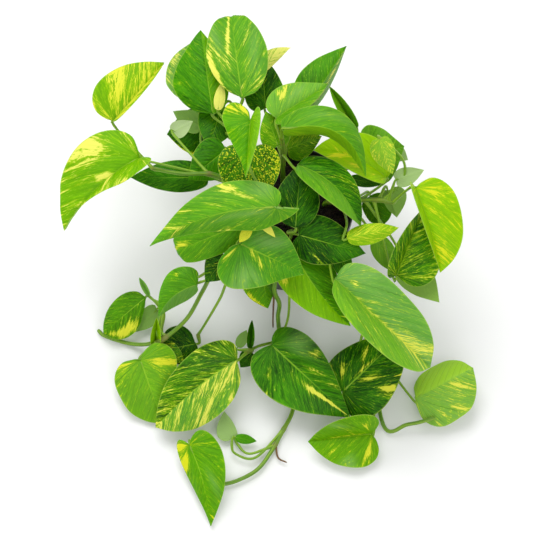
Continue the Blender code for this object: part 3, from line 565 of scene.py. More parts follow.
def upper_face(row, ribs, columns):
    """The points from base to tip, each with its rib, how far out it lies, its vein and its keel's depth."""
    frame_at = blade_frame(row)
    edges = {-1: outline(row, 0), 1: outline(row, 1)}
    size = row["width"] / USUAL_WIDTH
    found = [(frame_at(0)[0], 0.0, 0.0, (0.0, 0.0), 0.4)]
    for k in range(1, ribs):
        # The ribs lie closer together towards the tip, and the points closer together towards the midrib.
        rib = k / ribs + 0.1 * math.sin(math.pi * k / ribs)
        for j in range(-columns, columns + 1):
            side = -1 if j < 0 else 1
            t = abs(j) / columns
            q = t * (0.45 + 0.55 * t)
            edge = on_outline(edges[side], rib)
            point, reach, veins = blade_point(row, frame_at, side, edge, q, rib, size)
            keel = KEEL_DEPTH * size * (1 - 0.6 * rib) * bell(reach, 0, KEEL_WIDTH)
            found.append((point, rib, side * q, veins, keel))
    found.append((frame_at(1)[0], 1.0, 0.0, (1.0, 0.0), 0.0))
    return found


# %% [markdown]
# The under face is the upper one moved inwards by the leaf's thickness, which is greatest under the midrib,
# where the real leaf has a round keel. A rim of narrow faces closes the blade.

# %% The closed blade
def upper_quads(ribs, columns):
    """The faces of the upper side, and its margin from the base round the right half and back."""
    across = 2 * columns + 1
    count = (ribs - 1) * across + 2
    end = 1 + (ribs - 2) * across
    faces = []
    for j in range(across - 1):
        faces.append((0, 2 + j, 1 + j))
        faces.append((count - 1, end + j, end + j + 1))
    for k in range(ribs - 2):
        for j in range(across - 1):
            a = 1 + k * across + j
            faces.append((a, a + 1, a + across + 1, a + across))
    left = [1 + k * across for k in range(ribs - 1)]
    right = [first + across - 1 for first in left]
    return faces, [0] + right + [count - 1] + left[::-1]


def blade_mesh(row, name, ribs=RIBS, columns=COLUMNS, thickness=THICKNESS):
    top, rib_of, out_of, vein_of, keels = zip(*upper_face(row, ribs, columns))
    faces, margin = upper_quads(ribs, columns)
    normals = [Vector() for _ in top]
    for face in faces:
        a, b, c = (top[i] for i in face[:3])
        for i in face:
            normals[i] += (b - a).cross(c - a)
    # The blade thins towards its margin by two fifths.
    under = []
    for point, normal, out, keel in zip(top, normals, out_of, keels):
        under.append(point - normal.normalized() * (thickness * (1 - 0.4 * out ** 2) + keel))
    count = len(top)
    solid = faces + [tuple(i + count for i in reversed(face)) for face in faces]
    for a, b in zip(margin, margin[1:] + margin[:1]):
        solid.append((b, a, a + count, b + count))
    thing = new_mesh(name, list(top) + under, solid)
    smooth_shading(thing.data, 50)
    mark_blade(thing.data, row, rib_of * 2, out_of * 2, vein_of * 2, count)
    return thing


# %% [markdown]
# ## What each leaf looks like
# Variegation is different on every leaf of a golden pothos. A look says how fresh (tone), yellow-green
# (lime) or pale a leaf is, how much of it is flecked, how creamy the flecks are, and whether they are
# streaks or a mosaic (grain). The tone and the paleness carry painted light and shade as well: a leaf deep
# inside the plant has a lower tone, partly for the shade there, and paleness is partly the leaf's own
# grey-green and partly a painted sheen. A pair of numbers stands for the left and the right half, as seen
# from the petiole; where the two halves differ, that partly paints how the light falls on each. Patches,
# sheens and shades lie along a vein: (x, y, spread across the veins, spread along them, amount). Sheens
# are painted highlights, and shades paint light and shade as well as the leaf's own tone. Bands lie along
# the midrib or the margin: (x, y, spread along the midrib, spread across, amount).
# x and y are the pixel of the photograph in which the spot is seen, so a spot was placed where it is
# seen. Patches and bands add gold, sheens add grey and shades freshen the green. A negative amount does the
# opposite.

# %% Looks
def look(tone, lime=0.0, pale=0.0, fleck=0.03, cream=0.3, grain=0.0, **spots):
    return {"tone": tone, "lime": lime, "pale": pale, "fleck": fleck, "cream": cream, "grain": grain, **spots}


# Sheens in this table are painted highlights. Pale values, shades and the differing tones of two halves
# partly paint light and shade, and partly the leaf's own colour.
LOOKS = {
    "leaf_top": look(0.5, 0.05, 0.1, 0.15, 0.6,
        patches=((243, 42, 0.05, 0.16, 0.35), (222, 60, 0.05, 0.2, 0.3)),
        bands=((228, 36, 0.14, 0.1, 0.75), (214, 74, 0.2, 0.11, 1), (258, 84, 0.12, 0.22, 0.35)),
        sheens=((214, 38, 0.15, 0.12, 0.5), (255, 50, 0.2, 0.12, 0.35))),
    "leaf_top_left": look((0.42, 0.55), (0, 0.12), 0, 0.07, 0.2, shades=((195, 105, 0.1, 0.2, -0.12),)),
    "leaf_top_left_back": look(0.42, 0, 0.55, 0.18, 0.8, bands=((174, 60, 0.12, 0.15, 0.4),)),
    "leaf_top_cream": look(0.6, 0.3, 0.3, 0.72, 0.9),
    "leaf_top_dark": look(0.22, fleck=0.08),
    "leaf_top_right": look((0.38, 0.5), 0.03, (0, 0.3), 0.07, 0.7, bands=((336, 66, 0.25, 0.16, 0.6),)),
    "leaf_back_right": look((0.6, 0.5), 0.1, (0.3, 0.05), 0.12, 0.4, patches=((281, 95, 0.05, 0.12, 0.45),),
        sheens=((297, 92, 0.15, 0.12, 0.4),)),
    "leaf_back_folded": look(0.5, 0.15, 0.05, 0.12, 0.5),
    "leaf_high_right": look((0.46, 0.7), (0.08, 0.4), 0.08, (0.07, 0.12), 0.2,
        sheens=((330, 115, 0.15, 0.12, 0.3),)),
    "leaf_right_yellow": look(0.75, 0.7, 0, 0.2, 0.1,
        patches=((341, 155, 0.09, 0.16, 0.5), (362, 160, 0.06, 0.1, 0.3)),
        bands=((362, 168, 0.25, 0.1, 0.3),)),
    "leaf_high_front": look((0.7, 0.52), (0.2, 0.05), 0, (0.1, 0.05), 0.15,
        patches=((233, 109, 0.1, 0.14, 0.65), (246, 112, 0.08, 0.08, 0.5))),
    "leaf_left_dark": look(0.25, cream=0.1, bands=((188, 152, 0.3, 0.08, 0.8),)),
    "leaf_left_upper": look(0.52, 0.3, 0, 0.34, 0.2,
        patches=((119, 78, 0.11, 0.3, 0.5), (145, 72, 0.12, 0.14, 0.2), (100, 88, 0.1, 0.14, -0.2)),
        bands=((94, 107, 0.08, 0.1, 0.5), (140, 91, 0.35, 0.4, 0.4))),
    "leaf_left_large": look(0.6, 0.22, 0, 0.24, 0.6,
        patches=((92, 142, 0.08, 0.2, 0.45), (116, 145, 0.06, 0.14, -0.4), (84, 162, 0.08, 0.18, 0.22),
            (120, 163, 0.12, 0.14, -0.4), (80, 190, 0.12, 0.2, -0.1), (108, 176, 0.05, 0.14, 0.6)),
        bands=((84, 203, 0.15, 0.3, 0.25), (98, 180, 0.3, 0.05, 0.2))),
    "leaf_left_low": look(0.3),
    "leaf_left_inner": look(0.36),
    "leaf_mosaic": look(0.28, 0.03, 0, (0.23, 0.19), 0.1, 1, bands=((278, 165, 0.3, 0.12, 0.25),)),
    "leaf_front_large": look(0.54, 0.05, 0.1, 0.1, 0.5,
        patches=((222, 189, 0.04, 0.09, 0.5), (244, 196, 0.04, 0.09, 0.5), (210, 205, 0.04, 0.08, 0.4),
            (184, 211, 0.05, 0.08, 0.4), (176, 226, 0.08, 0.2, 0.45), (226, 230, 0.04, 0.1, 0.45),
            (258, 213, 0.03, 0.04, 0.4)), sheens=((262, 188, 0.15, 0.1, 0.5), (245, 214, 0.2, 0.08, 0.5))),
    "leaf_front_round": look(0.48, 0.08, 0.05, 0.08, 0.2, bands=((178, 246, 0.1, 0.3, 0.5),)),
    "leaf_centre_front": look(0.45, 0, 0.08, 0.08,
        patches=((231, 253, 0.06, 0.09, 0.5), (254, 255, 0.06, 0.1, 0.45), (261, 265, 0.04, 0.06, 0.6)),
        sheens=((245, 279, 0.2, 0.14, 0.65), (272, 242, 0.2, 0.14, 0.65))),
    "leaf_front_dark": look(0.18, fleck=0.06),
    "leaf_centre_upright": look(0.13, fleck=0.02, shades=((300, 214, 0.2, 0.15, 0.15),)),
    "leaf_centre_right": look((0.26, 0.54), (0, 0.12), (0, 0.12), 0.05),
    "leaf_centre_flat": look(0.18, shades=((350, 248, 0.3, 0.2, 0.2),)),
    "leaf_right_under": look(0.26),
    "leaf_front_right": look((0.36, 0.62), (0.05, 0.3), 0, 0.06, 0.2,
        patches=((284, 282, 0.03, 0.04, 0.7), (320, 257, 0.02, 0.04, 0.5))),
    "leaf_right_band": look(0.6, 0.45, 0.05, 0.36, 0.2),
    "leaf_right_large": look((0.46, 0.62), (0, 0.15), (0.45, 0.2), (0.14, 0.17), 0.5,
        patches=((353, 281, 0.04, 0.05, 0.7), (412, 345, 0.2, 0.2, 0.4), (408, 330, 0.05, 0.08, 0.3)),
        bands=((372, 312, 0.18, 0.08, 0.35),),
        sheens=((365, 275, 0.2, 0.15, 0.25), (410, 345, 0.2, 0.2, 0.6))),
    "leaf_right_mottled": look(0.3, 0.03, 0, 0.27),
    "leaf_far_right": look(0.72, 0.5, 0, 0.26, 0.05, patches=((440, 252, 0.12, 0.1, 0.3),),
        bands=((440, 205, 0.3, 0.1, 0.15),)),
    "leaf_right_young": look(0.66, 0.35, 0.3, 0.38),
    "leaf_right_wavy": look(0.5, 0.15, 0.12, 0.07),
    "leaf_right_olive": look(0.5, 0.35, 0.3, 0.08),
    "leaf_right_inner": look(0.22),
    "leaf_right_round": look(0.28, 0.08, 0, 0.08),
    "leaf_right_back": look(0.42, 0.3, 0.2, 0.06),
    "leaf_right_pale": look(0.55, 0.5, 0.2, 0.08),
    "leaf_rim": look(0.42, 0.1, 0, 0.09, 0.1, bands=((256, 301, 0.3, 0.15, 0.6),)),
    "leaf_trail_upper": look((0.5, 0.45), 0.05, (0.45, 0.05), 0.05, 0.2,
        patches=((175, 274, 0.04, 0.05, 0.5),)),
    "leaf_trail_far_left": look(0.36, 0.08, 0, 0.1, 0.2, bands=((126, 330, 0.2, 0.22, 0.9),)),
    "leaf_trail_pale": look(0.5, 0.1, 0.6),
    "leaf_trail_dark": look(0.14, fleck=0.06),
    "leaf_trail_heart": look((0.52, 0.46), 0.22, 0.1, 0.14, 0.15,
        patches=((165, 361, 0.08, 0.14, 0.6), (124, 366, 0.07, 0.16, 0.5))),
    "leaf_trail_long": look((0.46, 0.26), 0.04, (0.28, 0), (0.42, 0.3), (0.55, 0.4)),
    "leaf_trail_centre": look(0.3, 0, 0.03, 0.07, 0.4,
        patches=((316, 353, 0.04, 0.06, 0.6), (313, 369, 0.04, 0.09, 0.6), (335, 387, 0.05, 0.07, 0.6),
            (268, 376, 0.02, 0.05, 0.4), (267, 396, 0.02, 0.05, 0.4), (283, 380, 0.02, 0.04, 0.4)),
        bands=((330, 403, 0.16, 0.1, 1.2),), sheens=((300, 344, 0.14, 0.12, 0.65),)),
    "leaf_trail_mottled": look(0.22, 0, 0, 0.12, 0.25,
        patches=((343, 372, 0.04, 0.07, 0.6), (364, 353, 0.04, 0.07, 0.6), (368, 379, 0.04, 0.09, 0.65),
            (388, 387, 0.04, 0.1, 0.65), (402, 375, 0.04, 0.06, 0.55)), bands=((364, 368, 0.12, 0.05, 0.5),)),
    "leaf_trail_low": look(0.46, 0.2, 0, 0.14, 0.15,
        patches=((366, 426, 0.05, 0.07, 0.6), (370, 450, 0.07, 0.1, 0.6), (332, 452, 0.05, 0.06, 0.5)),
        bands=((345, 436, 0.3, 0.04, 0.4),), sheens=((347, 460, 0.1, 0.1, 0.5), (337, 426, 0.1, 0.1, 0.5))),
    "leaf_trail_far_right": look((1, 0.6), (0.9, 0.25), (0.35, 0.5), (0.08, 0.24), 0.4,
        patches=((461, 384, 0.14, 0.12, 0.35), (460, 409, 0.06, 0.12, 0.4))),
    "leaf_trail_tip": look(0.48, 0.12, 0, 0.12, 0.05,
        patches=((181, 447, 0.12, 0.1, 0.9), (184, 462, 0.1, 0.14, 0.9)),
        sheens=((214, 484, 0.12, 0.1, 0.35),)),
    "cream": look(0.7, 0.4, 0, 0.95, 0.8),
    "spike": look(0.7, 0.5, 0, 1.1, 0.5),
    "sheath": look(0.8, 0.7, 0, 0.75, 0.2),
    "thin": look(0.6, 0.1, 0.6),
    "pale_tip": look(0.6, 0.2, 1.4),
    "upright": look(0.2),
    "upright_pale": look(0.5, 0.1, 0.6),
    "small_low": look(0.25),
    "node_leaf": look(0.5),
    "node_pale": look(0.5, 0, 1.35),
    "left_pale": look(0.8, 0, 1.9),
    "trail_folded": look(0.6, 0.5, 0, 0.25),
    "trail_small": look(0.2, 0, 0, 0.25, 0.1),
    "right_pale": look(0.6, 0.2, 1.5),
    "inner_right": look(0.3, 0.1, 0, 0.25),
    "inner_back": look(0.45, 0.15, 0, 0.15),
    "left_grey": look(0.5, 0, 0.7, 0.08),
    "left_green": look(0.28),
}
print(len(LOOKS), "looks")

# %% [markdown]
# The script finds the point of the blade that the camera sees at a spot's pixel. The sums of the spots are
# kept on the mesh as attributes, so that one shader can paint every leaf.

# %% From a look to the attributes of a mesh
def pixels_of(mesh, count):
    """The pixels, from the photograph's upper left corner, in which the viewer sees a mesh's first points."""
    rays = np.empty(len(mesh.vertices) * 3)
    mesh.vertices.foreach_get("co", rays)
    rays = rays.reshape(-1, 3)[:count] / MILLIMETRE - np.array(EYE)
    sizes = EYE_DISTANCE / PIXEL / -(rays @ np.array(NEARER))
    return PHOTO_SIZE / 2 + rays @ np.array(ACROSS) * sizes, PHOTO_SIZE / 2 - rays @ np.array(UP) * sizes


def find_spots(spots, pixels, first, second):
    """The spots, each at the two numbers of the point that is seen nearest to its pixel."""
    found = []
    for x, y, *rest in spots:
        nearest = int(np.argmin(np.hypot(pixels[0] - x, pixels[1] - y)))
        found.append((first[nearest], second[nearest], *rest))
    return found


def heap(spots, first, second):
    """The sum of soft spots at a place with the two numbers. A spot ends at three times its spread."""
    total = 0.0
    for at_first, at_second, first_spread, second_spread, more in spots:
        away = ((first - at_first) / first_spread) ** 2 + ((second - at_second) / second_spread) ** 2
        if away < 9:
            total += more * math.exp(-away)
    return total


def number_of(name):
    """A number from 0 to 1 that is the same for a name in every run."""
    number = 7
    for letter in name:
        number = (number * 31 + ord(letter)) % 1000003
    return (number % 997) / 997


def mark_blade(mesh, row, ribs, outs, veins, upper_count):
    """Keeps the places on the blade as two UV maps, and the leaf's look as two colour attributes."""
    style = LOOKS[row["name"]]
    pixels = pixels_of(mesh, upper_count)
    starts = [vein for vein, _ in veins]
    runs = [run if out > 0 else -run for out, (_, run) in zip(outs, veins)]
    patches, sheens, shades = (
        find_spots(style.get(key, ()), pixels, starts, runs) for key in ("patches", "sheens", "shades")
    )
    bands = find_spots(style.get("bands", ()), pixels, ribs, outs)
    seed = number_of(row["name"])
    corners = [loop.vertex_index for loop in mesh.loops]
    grid = [(rib, 0.5 + 0.5 * out) for rib, out in zip(ribs, outs)]
    for name, places in (("blade", grid), ("veins", veins)):
        uv = mesh.uv_layers.new(name=name)
        uv.data.foreach_set("uv", [number for i in corners for number in places[i]])
    tones, marks = [], []
    for i, (rib, out, vein, run) in enumerate(zip(ribs, outs, starts, runs)):
        # The two halves blend within a narrow strip over the midrib.
        right = max(0.0, min(1.0, 0.5 + 12 * out))
        tone, lime, pale, fleck, cream = (
            value[0] + (value[1] - value[0]) * right if isinstance(value, tuple) else value
            for value in (style[key] for key in ("tone", "lime", "pale", "fleck", "cream"))
        )
        # Shades add painted light and shade to the tone, as well as the leaf's own tone; sheens add a painted
        # sheen to the paleness.
        tone += heap(shades, vein, run)
        pale += heap(sheens, vein, run)
        fleck += heap(patches, vein, run) + heap(bands, rib, out)
        tones += [tone, lime, max(0.0, pale), style["grain"]]
        marks += [max(0.0, fleck), cream, 0.0 if i < upper_count else 1.0, seed]
    for name, colours in (("tones", tones), ("marks", marks)):
        mesh.attributes.new(name, "FLOAT_COLOR", "POINT").data.foreach_set("color", colours)


# %% [markdown]
# ## Small tools for shader and geometry nodes
# Node trees are easier to read when a sum is written as a sum. A Value is the output of a node, and adding
# or multiplying it adds a Math node to its tree. The other helpers add one node each and hand back the
# value that the next step uses.

# %% Node helpers
class Value:
    """The output of a node."""

    def __init__(self, socket):
        self.socket = socket

    def __add__(self, other):
        return calc("ADD", self, other)

    def __sub__(self, other):
        return calc("SUBTRACT", self, other)

    def __rsub__(self, other):
        return calc("SUBTRACT", other, self)

    def __mul__(self, other):
        return calc("MULTIPLY", self, other)


def feed(socket, value):
    """Links a value to the socket, or sets its constant."""
    if isinstance(value, Value):
        socket.id_data.links.new(value.socket, socket)
    else:
        socket.default_value = value


def add_node(kind, inputs=(), tree=None, **settings):
    """Adds a node and gives its outputs. inputs go to its sockets by their order, or by name or number from a
    dictionary. The node joins the tree of the first value among them, unless a tree is given."""
    inputs = dict(inputs if isinstance(inputs, dict) else enumerate(inputs))
    if tree is None:
        tree = next(value.socket.id_data for value in inputs.values() if isinstance(value, Value))
    node = tree.nodes.new(kind)
    for label, value in settings.items():
        setattr(node, label, value)
    for label, value in inputs.items():
        feed(node.inputs[label], value)
    return [Value(socket) for socket in node.outputs]


def calc(operation, *values, clamp=False):
    return add_node("ShaderNodeMath", values, operation=operation, use_clamp=clamp)[0]


def between(value, low, high, to_low=0.0, to_high=1.0):
    """Turns low to high into to_low to to_high, softly at both ends."""
    numbers = (value, low, high, to_low, to_high)
    return add_node("ShaderNodeMapRange", numbers, interpolation_type="SMOOTHSTEP")[0]


def mix(share, first, second):
    """The colour at that share from the first to the second."""
    return add_node("ShaderNodeMix", {0: share, 6: first, 7: second}, data_type="RGBA")[2]


def vector(*numbers):
    return add_node("ShaderNodeCombineXYZ", numbers)[0]


def noise(place, scale, detail=2.0, rough=0.5):
    labels = ("Vector", "Scale", "Detail", "Roughness")
    return add_node("ShaderNodeTexNoise", dict(zip(labels, (place, scale, detail, rough))))[0]


def stored(tree, name):
    """The colour's three parts and the alpha of an attribute that the mesh carries."""
    colour, _, _, alpha = add_node("ShaderNodeAttribute", tree=tree, attribute_name=name)
    return add_node("ShaderNodeSeparateColor", (colour,)), alpha


def own_map(tree, name):
    """The two numbers of a UV map."""
    place = add_node("ShaderNodeUVMap", tree=tree, uv_map=name)
    return add_node("ShaderNodeSeparateXYZ", place)[:2]


def own_space(tree):
    """The place in the object's own space, which is the node's fourth output."""
    return add_node("ShaderNodeTexCoord", tree=tree)[3]


def new_group(kind, name, inputs, outputs):
    """A node group with the named sockets: (tree, the values given to it, the sockets of its result)."""
    tree = bpy.data.node_groups.new(name, kind)
    for way, sockets in (("INPUT", inputs), ("OUTPUT", outputs)):
        for label, carries in sockets.items():
            tree.interface.new_socket(label, in_out=way, socket_type="NodeSocket" + carries)
    start, end = tree.nodes.new("NodeGroupInput"), tree.nodes.new("NodeGroupOutput")
    return tree, {socket.name: Value(socket) for socket in start.outputs}, end.inputs


def new_finish(name, paint, bump_depth, bump_strength, **constants):
    """A material. paint takes its tree and gives the colour, the roughness and the height of a bump that is
    bump_depth metres deep. The constants are set on the shader's own sockets."""
    made = bpy.data.materials.new(name)
    made.use_nodes = True
    shader = made.node_tree.nodes["Principled BSDF"]
    for label, value in constants.items():
        shader.inputs[label.replace("_", " ")].default_value = value
    colour, roughness, height = paint(made.node_tree)
    bump = {"Height": height, "Distance": bump_depth, "Strength": bump_strength}
    feed(shader.inputs["Base Color"], colour)
    feed(shader.inputs["Roughness"], roughness)
    feed(shader.inputs["Normal"], add_node("ShaderNodeBump", bump)[0])
    return made


# %% [markdown]
# ## The green and gold of a leaf
# One group paints every leaf. It reads the vein map: which vein a point lies on, and how far along it.
# Noise that changes fast from vein to vein and slowly along a vein gives streaks that follow the veins, as
# chimeric variegation does. A fringe of yellow-green surrounds each streak, because the pale tissue lies
# under green layers there, and fine specks fill the space between. The group returns a colour, a roughness
# and a height, and each material keeps its own shader.

# %% The leaf group
DEEP_GREEN = screen_colour(6, 48, 0)
MID_GREEN = screen_colour(66, 142, 0)
FRESH_GREEN = screen_colour(120, 192, 0)
LIME_GREEN = screen_colour(164, 206, 0)
GREY_GREEN = screen_colour(132, 178, 92)
FRINGE_GREEN = screen_colour(158, 196, 4)
VEIN_AND_GROOVE_SHADE_GREEN = screen_colour(18, 66, 2)
MIDRIB_GREEN = screen_colour(146, 192, 44)
MARGIN_GREEN = screen_colour(172, 202, 80)
UNDER_GREEN = screen_colour(142, 176, 90)
GOLD = screen_colour(208, 212, 6)
CREAM = screen_colour(230, 228, 118)
WHITISH = screen_colour(214, 224, 190)


def build_leaf_group():
    tree, given, result = new_group(
        "ShaderNodeTree", "leaf markings",
        dict.fromkeys(("Vein Contrast", "Fringe", "Gloss", "Depth"), "Float"),
        {"Colour": "Color", "Roughness": "Float", "Height": "Float"},
    )
    rib, across = own_map(tree, "blade")
    vein, run = own_map(tree, "veins")
    (tone, lime, pale), grain = stored(tree, "tones")
    (amount, cream, under), seed = stored(tree, "marks")
    place = own_space(tree)
    side = across - 0.5
    out = calc("ABSOLUTE", side) * 2.0
    # Every leaf, and each of its halves, reads the noise at a depth of its own.
    layer = seed * 57.0 + calc("SIGN", side) * 4.0

    # Streaks: long along a vein, narrow from vein to vein, with soft wandering.
    drift = noise(vector(rib * 4.0, across, layer), 2.0) * 0.06 + vein

    def stripes(often, slowly, rough=0.5):
        return noise(vector(drift * often, run * slowly, layer), 1.0, 3.0, rough)

    broad, fine, specks = stripes(15.0, 2.4), stripes(42.0, 5.0, 0.7), stripes(95.0, 22.0, 0.7)
    streak = broad * 0.34 + fine * 0.42 + specks * 0.24
    speckle = noise(place, 760.0, 3.0, 0.6)
    level = (streak * (1.0 - grain) + speckle * grain) * 3.4 - 1.2
    edge = 1.0 - amount
    fleck = between(level, edge - 0.04, edge + 0.08)
    fringe = between(level, edge - (0.32 - grain * 0.16), edge + 0.04)
    dust = fringe * 0.45 + amount * 0.7 + 0.06
    dust = calc("MULTIPLY", between(specks, 0.58, 0.70), dust, clamp=True)

    # Green: dark to fresh by tone, a little uneven over the blade. The tone carries painted light and shade
    # as well as the leaf's own green.
    uneven = noise(place, 45.0)
    shade = tone + (uneven - 0.5) * 0.36 + (fine - 0.5) * 0.80 + (specks - 0.5) * 0.50
    green = mix(between(shade, 0.0, 0.5), DEEP_GREEN, MID_GREEN)
    green = mix(between(shade, 0.4, 1.0), green, FRESH_GREEN)
    green = mix(lime * 0.85, green, LIME_GREEN)
    # Grey-green by paleness: partly the leaf's own pale tissue, partly a painted sheen; past 1 it turns
    # whitish.
    green = mix(pale * between(broad, 0.3, 0.6, 0.7, 1.0), green, GREY_GREEN)
    green = mix(between(pale, 1.0, 2.0), green, WHITISH)
    green = mix(fringe * given["Fringe"], green, FRINGE_GREEN)

    # Veins: faint dark lines in the grooves, partly the veins' own colour and partly painted shade in the
    # grooves, and a pale midrib that thins towards the tip.
    wave = calc("ABSOLUTE", calc("SINE", vein * (math.pi * VEINS)))
    ripple = calc("ABSOLUTE", calc("SINE", drift * (math.pi * VEINS * 5)))
    lines = between(wave, 0.0, 0.22, 0.6, 0.0) + between(ripple, 0.0, 0.7, 0.3, 0.0)
    lines = lines * between(out, 0.80, 0.98, 1.0, 0.0)
    green = mix(lines * given["Vein Contrast"], green, VEIN_AND_GROOVE_SHADE_GREEN)
    gold = mix(cream, GOLD, CREAM)
    colour = mix(dust, green, gold)
    colour = mix(fleck, colour, mix(lines * 0.5, gold, FRINGE_GREEN))
    middle = between(out, 0.008, 0.030, 0.6, 0.0) * between(rib, 0.6, 1.0, 1.0, 0.1)
    colour = mix(middle, colour, MIDRIB_GREEN)
    colour = mix(between(out, 0.965, 0.995, 0.0, 0.5), colour, MARGIN_GREEN)
    colour = mix(under, colour, mix(0.62, colour, UNDER_GREEN))

    rough = uneven * 0.22 + 0.34 - given["Gloss"] * 0.10 + under * 0.20
    feed(result["Colour"], colour)
    feed(result["Roughness"], calc("ADD", rough, speckle * 0.08, clamp=True))
    feed(result["Height"], (1.0 - lines) * given["Depth"] + fine * 0.40 + speckle * 0.20)
    return tree


leaf_group = build_leaf_group()


def leaf_finish(name, vein_contrast, fringe, gloss, depth):
    """A leaf material, which is the leaf group with numbers of its own."""
    def paint(tree):
        return add_node("ShaderNodeGroup", (vein_contrast, fringe, gloss, depth), tree, node_tree=leaf_group)

    return new_finish(name, paint, 0.00022, 0.5, IOR=1.45, Specular_IOR_Level=0.10)


LEAF_FINISHES = {
    "fresh": leaf_finish("fresh pothos leaf", 0.45, 0.50, 0.5, 0.5),
    "dark": leaf_finish("dark pothos leaf", 0.60, 0.40, 0.6, 0.7),
    "yellow": leaf_finish("golden pothos leaf", 0.30, 0.70, 0.5, 0.45),
    "pale": leaf_finish("pale pothos leaf", 0.30, 0.45, 0.3, 0.5),
}
print("leaf materials", sorted(LEAF_FINISHES))

# %% [markdown]
# ## All the blades
# Each packed blade gets its finer twin. A few blades lie at the edge of the plant's box, and their waves
# could push a point past it by a hair, so every point is held just inside the box.

# %% Build every blade
BOX_MARGIN = 2e-5


def hold_inside(mesh):
    """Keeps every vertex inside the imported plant's box."""
    low, high = (np.array(corner) for corner in plant_box)
    places = np.empty(len(mesh.vertices) * 3)
    mesh.vertices.foreach_get("co", places)
    places = np.clip(places.reshape(-1, 3), low + BOX_MARGIN, high - BOX_MARGIN)
    mesh.vertices.foreach_set("co", places.ravel())
    mesh.update()


for row in GROWN:
    blade = blade_mesh(row, row["name"].replace("leaf_", "blade_"))
    hold_inside(blade.data)
    blade.data.materials.append(LEAF_FINISHES[row["tint"]])
    dress(blade, "leaf_" + row["tint"], row["name"])
print("blades", len(GROWN), "with", len(blade.data.vertices), "points each")

# %% [markdown]
# ## Stems and petioles
# A pothos stem is fleshy, ridged lengthwise, and thickens at each node, where a petiole starts in a short
# sheath. The petiole narrows towards a small swelling under the blade, then runs on as the midrib's keel.
# Each is a tube whose radius is a function of the distance along it. Two short brown tubes are aerial
# roots.

# %% Tubes with a changing radius
RIDGES = 5
RING_SPREAD = 2.2
STRIPE_LENGTH = 100


def fine_tube(points, radius_at, sides, ridge=0.0):
    """A closed tube: (points, faces, (distance, turn) of each point). radius_at takes the distance in mm, and
    ridge is the height of the lengthwise ridges as a share of the radius."""
    vertices, faces, marks = [], [], []
    across = (points[1] - points[0]).normalized().orthogonal().normalized()
    distance = 0.0
    for i, point in enumerate(points):
        if i:
            distance += (point - points[i - 1]).length
        direction = (points[min(len(points) - 1, i + 1)] - points[max(0, i - 1)]).normalized()
        across = (across - direction * across.dot(direction)).normalized()
        other = direction.cross(across)
        radius = radius_at(distance)
        for k in range(sides):
            turn = 2 * math.pi * k / sides
            here = radius * (1 + ridge * math.cos(RIDGES * turn))
            vertices.append(point + (across * math.cos(turn) + other * math.sin(turn)) * here)
            marks.append((distance, k / sides))
    for i in range(len(points) - 1):
        for k in range(sides):
            a, b = i * sides + k, i * sides + (k + 1) % sides
            faces.append((a, b, b + sides, a + sides))
    faces.append(tuple(reversed(range(sides))))
    faces.append(tuple(range(len(vertices) - sides, len(vertices))))
    return vertices, faces, marks


class StemBuilder:
    """Collects the tubes of one stem, with what its material needs to know of each point."""

    def __init__(self):
        self.points, self.faces, self.marks, self.kinds = [], [], [], []

    def add(self, line, radius_at, tube, rings, brown=0.0):
        """rings: the distances of the nodes along the line; brown: 0 green to 1 bark."""
        _, sides, ridge, age = tube
        points, faces, marks = fine_tube(line, radius_at, sides, ridge)
        first = len(self.points)
        self.points += points
        self.faces += [tuple(i + first for i in face) for face in faces]
        self.marks += marks
        for distance, _ in marks:
            ring = max((bell(distance, place, RING_SPREAD) for place in rings), default=0.0)
            self.kinds += [age, brown, ring, 1.0]

    def build(self, name):
        thing = new_mesh(name, self.points, self.faces)
        smooth_shading(thing.data, 60)
        uv = thing.data.uv_layers.new(name="stem")
        for loop in thing.data.loops:
            distance, turn = self.marks[loop.vertex_index]
            uv.data[loop.index].uv = (distance / STRIPE_LENGTH, turn)
        kinds = thing.data.attributes.new("kinds", "FLOAT_COLOR", "POINT")
        kinds.data.foreach_set("color", self.kinds)
        hold_inside(thing.data)
        return thing


# %% [markdown]
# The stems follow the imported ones. Their radius swells wherever a leaf leaves, and tapers to the growing
# tip. A petiole is widest in its sheath, the first few millimetres.

# %% Routes and radii of stems, shoots and petioles
# All in millimetres, except TAPER_END, the share of its radius that a petiole ends with.
STEM_ENDS, STEM_STEP = (1.9, 1.5), 12.0
NODE_SWELL, NODE_SPREAD = 0.45, 2.6
PETIOLE_RADIUS, PETIOLE_END_RADIUS = 1.15, 0.85
SHEATH_SWELL, SHEATH_SPREAD = 0.55, 5.0
KNEE_SWELL, KNEE_SPREAD, KNEE_FROM_END = 0.22, 3.5, 12.0
TAPER_LENGTH, TAPER_END = 6.0, 0.30
SOIL_HOLE_FLOOR, SOIL_GAP, SOIL_HEIGHT = 63.0, 0.35, 72.0

# The kinds of tubes: the step along them, their sides, the height of their ridges as a share of the radius,
# and their age, from 0 for old to 1 for young.
MAIN_TUBE, SHOOT_TUBE, PETIOLE_TUBE = (1.8, 20, 0.05, 0.35), (1.5, 14, 0.04, 0.6), (1.6, 14, 0.03, 0.85)


def stem_places(name):
    """The places of a stem, from its foot in the soil."""
    root = spot(*STEMS[name][0])
    foot = [Vector((root.x, root.y, SOIL_HOLE_FLOOR + SOIL_GAP)), Vector((root.x, root.y, SOIL_HEIGHT + 4))]
    return foot + [spot(*place) for place in STEMS[name][1:]]


